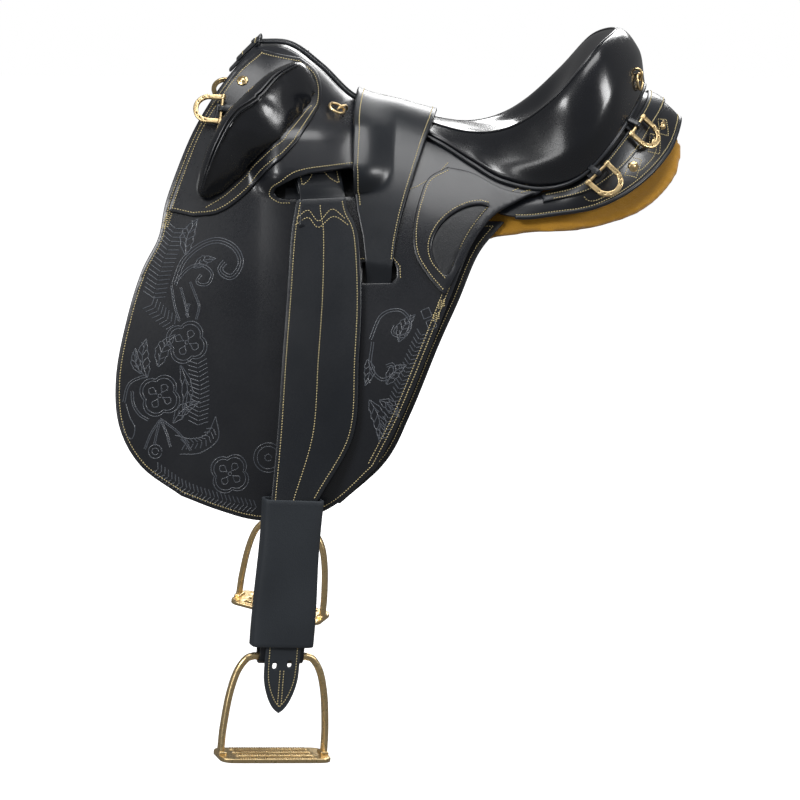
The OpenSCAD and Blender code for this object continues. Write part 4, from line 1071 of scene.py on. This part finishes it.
def seat():
    n, m = 96, 56
    s, t = np.meshgrid(np.linspace(0, 1, n), np.linspace(0, 1, m), indexing="ij")
    half = seat_point(s, t)
    tuck = round_seat(seat_edge(2.5, 5.6), np.linspace(0, 1, n))[:, None, :]
    half = np.concatenate([half, tuck], axis=1)
    m += 1
    quads = grid_faces(n, m)
    other = half * np.array([1, -1, 1])
    verts = np.vstack([half.reshape(-1, 3), other.reshape(-1, 3)])
    faces = [tuple(reversed(q)) for q in quads] + [tuple(n * m + k for k in q) for q in quads]
    piece = add_piece("seat", verts, faces, "leather_pad")
    weld_and_thicken(piece, 2.2)
    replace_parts(piece, "seat_cover")
    run = np.concatenate([np.linspace(0.02, 1, 110), np.linspace(1, 0.02, 110)[1:]])
    way = np.array([1.0] * 110 + [-1.0] * 109)

    def both_ways(points):
        p = np.array(points)
        p[:, 1] *= way
        return p
    seam = both_ways(seat_point(run, np.full(219, 0.5)) + [0, 0, 0.5])
    add_piece("seat_seam", *tube_mesh(seam, 1.1, 8), "leather_pad")
    welt = both_ways(round_seat(seat_edge(5, LEATHER + 2.6), run))
    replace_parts(add_piece("seat_welt", *tube_mesh(welt, 2.3, 12), "leather_strap"), "seat_welt")


def weld_and_thicken(piece, thick):
    """Joins the two halves of a mirrored surface and gives it the thickness of its leather."""
    weld = piece.modifiers.new("weld", "WELD")
    weld.merge_threshold = 0.02 * MM
    solid = piece.modifiers.new("thickness", "SOLIDIFY")
    solid.thickness = thick * MM
    solid.offset = -1


# ---------------------------------------------------------------- back of the saddle

BACK_TOP = [skin(100, 30, -4, 0).tolist(), skin(140, 24, -4, 0).tolist(), (184, 128, 27), (226, 134, 47),
            (266, 104, 95), (289, 58, 124), (297, 0, 134)]
BACK_EDGE = [skin(100, 12, -4, 0).tolist(), skin(143, 2, -4, 0).tolist(), (190, 143, 4), (240, 140, 13),
             (288, 114, 36), (326, 68, 70), (342, 0, 102)]
BACK_LENGTH = 300.0
BACK_DEPTH = 60.0


def back_point(s, v, d):
    s, v, d = np.broadcast_arrays(np.asarray(s, float), np.asarray(v, float), np.asarray(d, float))
    a, b = round_seat(BACK_TOP, s), round_seat(BACK_EDGE, s)
    run = round_seat(BACK_TOP, np.minimum(1, s + 0.01)) - round_seat(BACK_TOP, np.maximum(0, s - 0.01))
    run = np.where((s >= 0.9999)[..., None], np.array([0.0, -1.0, 0.0]), run)
    n = unit(np.cross(run, b - a))
    bulge = d + 16 * v * (1 - v) * ease(s / 0.3)
    return mix(a, b, v[..., None]) + bulge[..., None] * n


def on_back(x, z, d):
    """Flat rear skirt: x from the middle of the back, -z down from the seat."""
    x = np.asarray(x, float)
    p = back_point(1 - np.abs(x) / BACK_LENGTH, -np.asarray(z, float) / BACK_DEPTH, d)
    p[..., 1] *= np.where(x < 0, -1, 1)
    return p


def rear_skirt():
    end = BACK_LENGTH
    loop = [(-end, -BACK_DEPTH), (end, -BACK_DEPTH), (end, 9), (-end, 9)]
    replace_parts(add_piece("rear_skirt", *sheet_mesh(loop, [], on_back, 0.0, -2.6, 5.0, 1.0), "leather_black"),
                "rear_skirt")
    s = np.linspace(0.16, 1, 90)
    half = back_point(s, np.full(90, 1.0), -1.0)
    whole = np.vstack([half, half[::-1][1:] * [1, -1, 1]])
    add_piece("rear_piping", *tube_mesh(whole, 2.7, 12), "leather_strap")
    reach = BACK_LENGTH * 0.84
    rows = [[(x, -BACK_DEPTH * 0.92) for x in np.linspace(-reach, reach, 80)]]
    for side in (-1, 1):
        for x, z, r in ((102, -40, 12), (66, -40, 12), (42, -38, 11)):
            rows.append([(side * (x + r * a), z + r * b) for a, b in ((0, 1), (1, 0), (0, -1), (-1, 0), (0, 1))])
        for x in (141, 84):
            t = np.linspace(-1, 1, 30)
            rows.append(np.stack([side * x + 21 * t, -32 - 17 * np.sqrt(np.maximum(0, 1 - t ** 4))], axis=1))
    add_piece("rear_stitches", *stitch_mesh(rows, on_back, 0.1), "thread")


def cantle_strap():
    end = BACK_LENGTH * 0.71
    high, low = -0.08 * BACK_DEPTH, -0.46 * BACK_DEPTH
    wave = [(x, low - 2.4 * math.cos(x / 57 * math.pi)) for x in np.linspace(-end, end, 90)]
    loop = wave + [(end, high), (-end, high)]
    mesh = sheet_mesh(loop, [], on_back, 3.4, 0.1, 4.0, 1.2)
    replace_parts(add_piece("cantle_strap", *mesh, "leather_strap"), "cantle_strap")
    rows = [[(x, z + 3.5) for x, z in wave[3:-3]], [(x, high - 3.5) for x in np.linspace(-end + 5, end - 5, 80)]]
    add_piece("cantle_stitches", *stitch_mesh(rows, on_back, 3.5), "thread", slot="strap_leather")


# ---------------------------------------------------------------- panels and sweat flaps

PANEL_IN = -16.0
PANEL_ROWS = [((-178, 148), (-250, 30)), ((-160, 148), (-232, -60)), ((-115, 130), (-160, -112)),
              ((-58, 96), (-70, -105)), ((5, 76), (10, -75)), ((65, 64), (75, -28)), ((130, 58), (148, -10)),
              ((188, 58), (190, -6))]
PANEL_BACK = [((232, 32, 60), (244, 130, -5)), ((272, 30, 66), (296, 108, 12)), ((304, 27, 76), (335, 70, 46)),
              ((322, 24, 86), (348, 22, 80))]


def panel_point(s, t):
    s, t = np.broadcast_arrays(np.asarray(s, float), np.asarray(t, float))
    shape = s.shape
    s, t = s.ravel(), t.ravel()
    rows = []
    for a, b in PANEL_ROWS:
        rows.append(skin(mix(a[0], b[0], t), mix(a[1], b[1], t), PANEL_IN, 0))
    for a, b in PANEL_BACK:
        rows.append(mix(np.array(a, float), np.array(b, float), t[:, None]))
    return curve_rows(np.stack(rows), s).reshape(*shape, 3)


def panel():
    n, m = 90, 40
    s, ring = np.meshgrid(np.linspace(0, 1, n), np.linspace(0, 2 * np.pi, m, endpoint=False), indexing="ij")
    t = 0.5 - 0.5 * np.sign(np.cos(ring)) * np.abs(np.cos(ring)) ** 0.7
    e = 0.01
    along = panel_point(np.minimum(1, s + e), t) - panel_point(np.maximum(0, s - e), t)
    across = panel_point(s, np.minimum(1, t + e)) - panel_point(s, np.maximum(0, t - e))
    normal = unit(np.cross(along, across))
    depth = 10 + 16 * (np.sin(np.pi * s) * np.abs(np.sin(np.pi * t))) ** 0.35
    share = 0.5 - 0.5 * np.sign(np.sin(ring)) * np.abs(np.sin(ring)) ** 0.6
    closing = np.sqrt(np.maximum(0.05, 1 - (1 - clamp01(np.minimum(s, 1 - s) / 0.035)) ** 2))
    rings = panel_point(s, t) - (depth * (0.5 + (share - 0.5) * closing))[..., None] * normal
    crimp = 0.7 * np.sin(s * 560) * np.exp(-((ring - 2.9) / 0.35) ** 2)
    rings = rings + crimp[..., None] * normal
    faces = grid_faces(n, m, close=True) + [tuple(range(m - 1, -1, -1)), tuple((n - 1) * m + j for j in range(m))]
    mesh = (rings.reshape(-1, 3), faces)
    made = pair("panel", mesh, "suede", stands_for="panel")
    for piece in made.values():
        outward(piece)
        inflate(piece, 6, 4, 2.0)


def outward(piece):
    """Turns a closed mesh's faces to point outwards."""
    bpy.context.view_layer.objects.active = piece
    bpy.ops.object.mode_set(mode="EDIT")
    bpy.ops.mesh.select_all(action="SELECT")
    bpy.ops.mesh.normals_make_consistent(inside=False)
    bpy.ops.object.mode_set(mode="OBJECT")


SWEAT_FRONT = [(-262, 0), (-276, -60), (-298, -115), (-312, -180), (-308, -236), (-284, -280), (-240, -308)]
SWEAT_REAR = [(128, 0), (98, -36), (75, -90), (52, -142), (20, -222), (-9, -278), (-62, -326)]


def sweat_flap():
    loop = strip_loop(SWEAT_FRONT, SWEAT_REAR)
    mesh = sheet_mesh(loop, [], under_skin, -10.7, -13.2, 7.0, 1.0)
    pair("sweat_flap", mesh, "leather_grain", stands_for="sweat_flap")
    pair("sweat_stitches", stitch_mesh([closed_path(loop, 6)], under_skin, -10.6), "thread")


# ---------------------------------------------------------------- stirrup leathers

FENDER_LEFT = [(-118, 17), (-120, 2), (-123, -24), (-126, -90), (-130, -160), (-134, -240), (-140, -318)]
FENDER_RIGHT = [(-62, 17), (-57, 2), (-44, -24), (-38, -90), (-40, -160), (-46, -246), (-86, -318)]
FENDER_BEND, FENDER_LOW, FENDER_GAP = -100.0, -318.0, 9.5


def hang_y(x, z):
    return (HANG_ORIGIN[1] - math.tan(math.radians(20)) * (x - HANG_ORIGIN[0])
            - math.tan(math.radians(3)) * (z - HANG_ORIGIN[2]))


def on_fender(x, z, d):
    x = np.asarray(x, float)
    z = np.asarray(z, float)
    v = clamp01((FENDER_BEND - z) / (FENDER_BEND - FENDER_LOW))
    low = np.full(x.shape, FENDER_LOW)
    spread = hang_y(x, FENDER_LOW) - 2 - skin(x, low, np.full(x.shape, FENDER_GAP))[..., 1]
    p = skin(x, z, FENDER_GAP + np.asarray(d, float))
    p[..., 1] += spread * v ** 1.5
    return p


def fender():
    t = np.linspace(0, 1, 90)
    left, right = curve(FENDER_LEFT, t), curve(FENDER_RIGHT, t)
    loop = np.vstack([left, [(-136, -325), (-90, -325)], right[::-1]])
    mesh = sheet_mesh(loop, [], on_fender, LEATHER, 0.0, 5.0, 1.4)
    pair("fender", mesh, "leather_strap", "fender_{}", True, "fender")
    rows = [offset_path(left[3:], 5), offset_path(right[3:], -5), mix(left, right, 0.47)[8:]]
    rows.append(curve([(-117, -4), (-104, 4), (-92, -8), (-78, 4), (-62, -6)], np.linspace(0, 1, 40)))
    rows.append(curve([(-119, -12), (-104, -4), (-92, -15), (-76, -4), (-56, -14)], np.linspace(0, 1, 40)))
    pair("fender_stitches", stitch_mesh(rows, on_fender, LEATHER + 0.1), "thread", "fender_{}", True,
         slot="strap_leather")


def leather_loop():
    """The leather round the stirrup bar, out through the slot and down behind the top of the fender."""
    inner, rise = 4.6, 6.5
    mid = inner + STRAP / 2
    a = np.radians(np.linspace(180, 0, 19))
    inner_ply = bar_frame(-13.0, np.linspace(0.8, -mid, 14), np.linspace(-54, 0, 14))
    over = bar_frame(-13.0, mid * np.cos(a), rise + mid * np.sin(a))
    outer_ply = bar_frame(-13.0, np.linspace(mid, 5.0, 12), np.linspace(0, -50, 12))
    tail = skin(np.full(8, -88.0), np.linspace(20, -12, 8), np.full(8, 7.4))
    path = resample(np.vstack([inner_ply, over, outer_ply, tail]), 4.0)
    for _ in range(2):
        path[1:-1] = (path[:-2] + 2 * path[1:-1] + path[2:]) / 4
    mesh = strap_mesh(path, BAR_ALONG, 56, STRAP)
    made = pair("leather_loop", mesh, "leather_strap", None, True, "leather_loop")
    shown = path[np.argmax(path[:, 2]) + 2:]
    length = np.concatenate([[0], np.cumsum(np.linalg.norm(np.diff(shown, axis=0), axis=1))])

    def on_loop(x, z, d):
        p = np.stack([np.interp(np.asarray(z, float), length, shown[:, k]) for k in range(3)], axis=-1)
        return p + np.asarray(x, float)[..., None] * BAR_ALONG + (np.asarray(d, float) + STRAP / 2)[..., None] * BAR_OUT
    rows = [[(-23, 6), (-23, 48)], [(23, 6), (23, 48)], [(-4, 6), (-5, 26), (-12, 40), (-22, 48)],
            [(4, 6), (5, 26), (12, 40), (22, 48)]]
    rows = [curve(row, np.linspace(0, 1, 30)) for row in rows]
    pair("loop_stitches", stitch_mesh(rows, on_loop, 0.1), "thread", "loop_{}", True, slot="strap_leather")
    for label, piece in made.items():
        side = SIDES[label]
        start = Vector(placed(skin(-90, 24, 8)[None], side, True)[0] * MM)
        end = Vector(placed(skin(-90, 10, 8)[None], side, True)[0] * MM)
        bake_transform(piece)


PLY = 6.75


def stirrup_leather():
    a = np.radians(np.linspace(0, -180, 25))
    down = hanger(0, np.full(30, PLY), np.linspace(168, 4, 30))
    round_bar = hanger(0, PLY * np.cos(a), PLY * np.sin(a))
    up = hanger(0, np.full(30, -PLY), np.linspace(4, 168, 30))
    path = np.vstack([down, round_bar, up])
    across = HANG @ np.array([1.0, 0, 0])
    mesh = strap_mesh(path, across, 54, STRAP)
    pair("stirrup_leather", mesh, "leather_strap", "fender_{}", True, "stirrup_leather")


TIP_OUT = 9.1


def on_tip(x, z, d):
    return hanger(x, TIP_OUT + np.asarray(d, float), z)


def strap_tip():
    side_curve = curve([(21, 150), (21, 60), (21, -10), (19.5, -30), (14, -48), (7, -60), (0, -66)], np.linspace(0, 1, 60))
    loop = np.vstack([side_curve, side_curve[::-1][1:] * [-1, 1]])
    holes = [circle(x, z, 2.8, 20) * [1, 1] + np.where(np.arange(20)[:, None] < 10, 1.2, -1.2) * [0, 1]
             for x, z in ((-9, -9), (9, -7))]
    mesh = sheet_mesh(loop, holes, on_tip, STRAP, 0.0, 3.0, 1.1)
    pair("strap_tip", mesh, "leather_matte", "fender_{}", True, "strap_tip")
    border = curve([(16.5, 30), (16.5, -12), (14, -32), (7, -49), (0, -58)], np.linspace(0, 1, 50))
    rows = [border, border * [-1, 1], [(2.2, -14), (2.2, -54)], [(-2.2, -14), (-2.2, -54)]]
    pair("tip_stitches", stitch_mesh(rows, on_tip, STRAP + 0.1), "thread", "fender_{}", True, slot="sleeve_leather")


def sleeve_ring(grow, z, count=64):
    """Rounded outline of the sleeve, a little creased, at height z."""
    a = np.linspace(0, 2 * np.pi, count, endpoint=False)
    c, s = np.cos(a), np.sin(a)
    wide = 36 + 1.2 * math.sin(z / 31) + 1.0 * ease((60 - z) / 60)
    x = (wide + grow) * np.sign(c) * np.abs(c) ** 0.34
    y = 1.85 + (13.6 + grow) * np.sign(s) * np.abs(s) ** 0.42
    y = y + np.where(s > 0, 0.7 * np.sin(x / 13 + z / 37) + 0.5 * np.sin(z / 17 - x / 21), 0)
    return hanger(x, y, z)


def leather_sleeve():
    heights = np.linspace(14, 186, 44)
    outer = [sleeve_ring(0.0, z) for z in heights]
    rim_top = [sleeve_ring(-0.6, 187.0), sleeve_ring(-1.8, 187.0)]
    inner = [sleeve_ring(-2.4, z) for z in heights[::-1]]
    rim_low = [sleeve_ring(-1.8, 13.0), sleeve_ring(-0.6, 13.0)]
    rings = np.stack(outer + rim_top + inner + rim_low)
    n, m = rings.shape[:2]
    faces = grid_faces(n, m, close=True)
    faces += [((n - 1) * m + j, (n - 1) * m + (j + 1) % m, (j + 1) % m, j) for j in range(m)]
    made = pair("leather_sleeve", (rings.reshape(-1, 3), faces), "leather_matte", "fender_{}", True, "leather_sleeve")
    for piece in made.values():
        outward(piece)


# ---------------------------------------------------------------- stirrup irons

IRON_LEG = [(32, 0), (41, -4), (51, -20), (58, -48), (62, -84), (62.8, -104), (63, -117)]
IRON_FOOT = (5.4, 17.2, 6.0)
TREAD_LOW = -121.5


def stirrup_iron():
    leg = curve(IRON_LEG, np.linspace(0, 1, 40))
    bar = np.stack([np.linspace(-30, 30, 12), np.zeros(12)], axis=1)
    path = np.vstack([leg[::-1] * [-1, 1], bar, leg])
    length = np.abs(np.linspace(-1, 1, len(path)))
    thick = mix(4.4, 3.7, length)
    wide = mix(4.4, 7.4, clamp01((length - 0.25) / 0.7))
    t = unit(np.gradient(path, axis=0))
    ring = np.linspace(0, 2 * np.pi, 24, endpoint=False)
    cs = np.sign(np.cos(ring)) * np.abs(np.cos(ring)) ** 0.85
    sn = np.sign(np.sin(ring)) * np.abs(np.sin(ring)) ** 0.85
    x = path[:, 0:1] - t[:, 1:2] * thick[:, None] * cs
    z = path[:, 1:2] + t[:, 0:1] * thick[:, None] * cs
    y = wide[:, None] * sn
    frame_mesh = (hanger(x, y, z).reshape(-1, 3), grid_faces(len(path), 24, close=True))

    def on_tread(x, z, d):
        return hanger(x, z, TREAD_LOW + np.asarray(d, float))
    corner = 13
    outline = np.vstack([circle(sx * (67 - corner), sy * (27 - corner), corner, 14, start, 90)
                         for sx, sy, start in ((1, 1, 0), (-1, 1, 90), (-1, -1, 180), (1, -1, 270))])
    slots = []
    for z in (-14.6, 0.0, 14.6):
        slots.append(np.vstack([circle(44.5, z, 3.5, 12, -90, 180), circle(-44.5, z, 3.5, 12, 90, 180)]))
    tread = sheet_mesh(outline, slots, on_tread, 5.0, 0.0, 3.5, 1.1)
    reach, across, high = IRON_FOOT
    feet = []
    for way in (-1, 1):
        block = [(way * x, y) for x, y in ((63 - reach, -across / 2), (66.8, -across / 2), (66.8, across / 2),
                                           (63 - reach, across / 2))]
        feet.append(sheet_mesh(block, [], on_tread, high + 2.5, 3.0, 2.5, 1.2))
    rows = [[(x, z - 2.6), (x, z + 2.6)] for z in (-22.4, -7.3, 7.3, 22.4) for x in range(-45, 46, 3)]
    ridges = [tube_mesh(on_tread(*np.array(resample(r, 1.3)).T, 5.1), 0.75, 6) for r in rows]
    mesh = joined(frame_mesh, tread, *feet, *ridges)
    made = pair("stirrup_iron", mesh, "brass", "iron_{}", True, "stirrup_iron")
    for piece in made.values():
        outward(piece)


# ---------------------------------------------------------------- dees, rosettes

def frame_at(o, along, out):
    x = unit(along)
    y = unit(out - np.dot(out, x) * x)
    return o, x, y, np.cross(x, y)


def back_frame(s, v):
    o = back_point(s, v, 9.2)
    run = back_point(min(1, s + 0.02), v, 0) - back_point(s - 0.02, v, 0)
    down = back_point(s, v + 0.1, 0) - back_point(s, v - 0.1, 0)
    return frame_at(o, run, np.cross(run, down))


DEE_FRAMES = {
    "front_dee": frame_at(skin(-208, 114, LEATHER + 10.4), skin(-209, 104, 4) - skin(-207, 124, 4),
                          skin(-208, 114, 10) - skin(-208, 114, 0)),
    "side_dee": back_frame(0.53, 0.12),
    "cantle_dee": back_frame(0.72, 0.12),
}


def in_frame(f, x, y, z):
    return f[0] + vec(x, y, z) @ np.array([f[1], f[2], f[3]])


def horseshoe(name, f):
    """Brass horseshoe on its bar, with nail holes, and the leather chape that holds it."""
    def flat(x, z, d):
        return in_frame(f, x, d, z)
    outer = np.vstack([[(-19, 3), (-19, -8)], circle(0, -15, 19, 40, 190, 160), [(19, -8), (19, 3)]])
    inner = np.vstack([[(13, 3), (13, -8)], circle(0, -15, 13, 34, -10, -160), [(-13, -8), (-13, 3)]])
    nails = [circle(16 * math.cos(a), -15 + 16 * math.sin(a), 0.9, 10) for a in np.radians((190, 215, 240, 300, 325, 350))]
    plate = sheet_mesh(np.vstack([outer, inner]), nails, flat, 1.6, -1.5, 1.6, 0.8)
    bar = tube_mesh(in_frame(f, np.linspace(-18, 18, 12), 0, 0), 1.9, 14)
    knobs = [tube_mesh(in_frame(f, np.linspace(x - 2.6, x + 2.6, 6), 0, 0), 2.9, 14) for x in (-16.4, 16.4)]
    pair(name, joined(plate, bar, *knobs), "brass", name + "_{}", stands_for=name)
    a = np.radians(np.linspace(180, 360, 13))
    under = np.stack([np.linspace(-5.6, -3.2, 8), np.linspace(24, 0, 8)], axis=1)
    nose = np.stack([3.3 * np.cos(a), 3.3 * np.sin(a)], axis=1)
    over = np.stack([np.linspace(3.3, -2.0, 9), np.linspace(0.6, 13, 9)], axis=1)
    path = np.vstack([under, nose, over])
    keeper = strap_mesh(in_frame(f, 0, path[:, 0], path[:, 1]), f[1], 7, 2.2)
    base = strap_mesh(in_frame(f, 0, np.linspace(-6.0, -5.2, 12), np.linspace(14, -8, 12)), f[1], 20, 2.0)
    return joined(keeper, base)


def dees():
    straps = [horseshoe(name, f) for name, f in DEE_FRAMES.items()]
    pair("dee_chapes", joined(*straps), "leather_strap", stands_for="dee_chapes")


def rosettes():
    spots = [frame_at(skin(-186, 148, 7.4), np.array([1.0, 0, 0]), skin(-186, 148, 9) - skin(-186, 148, 0))]
    for s, v in ((0.66, 0.66), (0.78, 0.66), (0.86, 0.62)):
        spots.append(frame_at(back_point(s, v, 0.2), np.array([0, 0, 1.0]), back_point(s, v, 5) - back_point(s, v, 0)))
    meshes = []
    steps = ((1.0, 0.0), (1.0, 0.7), (0.93, 1.1), (0.7, 1.15), (0.62, 1.6), (0.5, 1.75), (0.46, 2.3), (0.3, 2.9), (0.12, 3.2))
    for f in spots:
        a = np.linspace(0, 2 * np.pi, 48, endpoint=False)
        rings = [in_frame(f, 6.8 * r * (1 + 0.05 * r * np.cos(8 * a)) * np.cos(a), h,
                          6.8 * r * (1 + 0.05 * r * np.cos(8 * a)) * np.sin(a)) for r, h in steps]
        verts = np.vstack(rings)
        faces = grid_faces(len(steps), 48, close=True) + [tuple((len(steps) - 1) * 48 + j for j in range(48))]
        meshes.append((verts, faces))
    verts, faces = joined(*meshes)
    made = pair("rosette", (verts, faces), "brass")
    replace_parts(made["left"], "rosettes")
    for piece in made.values():
        outward(piece)


# ---------------------------------------------------------------- stage

def stage():
    bpy.ops.mesh.primitive_plane_add(size=14, location=(0, 1.0, cad_box[0][2] - 0.012))
    floor = bpy.context.object
    floor.name = "floor"
    paper = bpy.data.materials.new("floor_paper")
    paper.use_nodes = True
    shader = paper.node_tree.nodes["Principled BSDF"]
    shader.inputs["Base Color"].default_value = (0.92, 0.92, 0.92, 1)
    shader.inputs["Roughness"].default_value = 0.8
    shader.inputs["Emission Color"].default_value = (1, 1, 1, 1)
    shader.inputs["Emission Strength"].default_value = 0.85
    floor.data.materials.append(paper)
    floor.visible_glossy = False
    floor.visible_diffuse = False
    world = bpy.data.worlds.new("studio")
    bpy.context.scene.world = world
    world.use_nodes = True
    tree = world.node_tree
    tree.nodes["Background"].inputs["Color"].default_value = (1, 1, 1, 1)
    seen = tree.nodes.new("ShaderNodeLightPath")
    level = tree.nodes.new("ShaderNodeMapRange")
    level.inputs["To Min"].default_value = 0.17
    level.inputs["To Max"].default_value = 1.0
    tree.links.new(seen.outputs["Is Camera Ray"], level.inputs["Value"])
    tree.links.new(level.outputs["Result"], tree.nodes["Background"].inputs["Strength"])
    softbox("key", (-1.9, -2.4, 1.9), 1.2, 52)
    softbox("top", (0.3, -0.4, 2.3), 1.8, 34)
    softbox("rim", (2.4, -0.9, 1.0), 0.9, 26)
    softbox("back", (0.6, 2.6, 1.2), 1.4, 30)
    softbox("low", (-2.2, -2.6, 0.1), 0.8, 9)


def softbox(name, place, size, power):
    light = bpy.data.lights.new(name, "AREA")
    light.shape = "RECTANGLE"
    light.size = size
    light.size_y = size * 0.7
    light.energy = power
    lamp = bpy.data.objects.new(name, light)
    lamp.location = place
    aim = Vector((0, 0, -0.2)) - Vector(place)
    lamp.rotation_euler = aim.to_track_quat("-Z", "Y").to_euler()
    bpy.context.scene.collection.objects.link(lamp)


def camera():
    view = bpy.data.cameras.new("camera")
    view.lens = 129.6
    view.sensor_width = 36
    lens = bpy.data.objects.new("camera", view)
    azimuth, elevation, far = math.radians(2), math.radians(12), 3.6
    target = Vector((0, 0, -0.253))
    back = Vector((math.sin(azimuth) * math.cos(elevation), -math.cos(azimuth) * math.cos(elevation), math.sin(elevation)))
    lens.location = target + back * far
    lens.rotation_euler = (-back).to_track_quat("-Z", "Y").to_euler()
    bpy.context.scene.collection.objects.link(lens)
    bpy.context.scene.camera = lens


def build():
    make_materials()
    dress_nodes()
    flap()
    slot_lining()
    tooling()
    skirt()
    knee_facing()
    knee_pad()
    pommel()
    overgirth()
    seat()
    rear_skirt()
    cantle_strap()
    panel()
    sweat_flap()
    fender()
    leather_loop()
    stirrup_leather()
    strap_tip()
    leather_sleeve()
    stirrup_iron()
    dees()
    rosettes()
    stage()
    camera()
    bpy.context.scene.view_settings.view_transform = "Standard"


build()
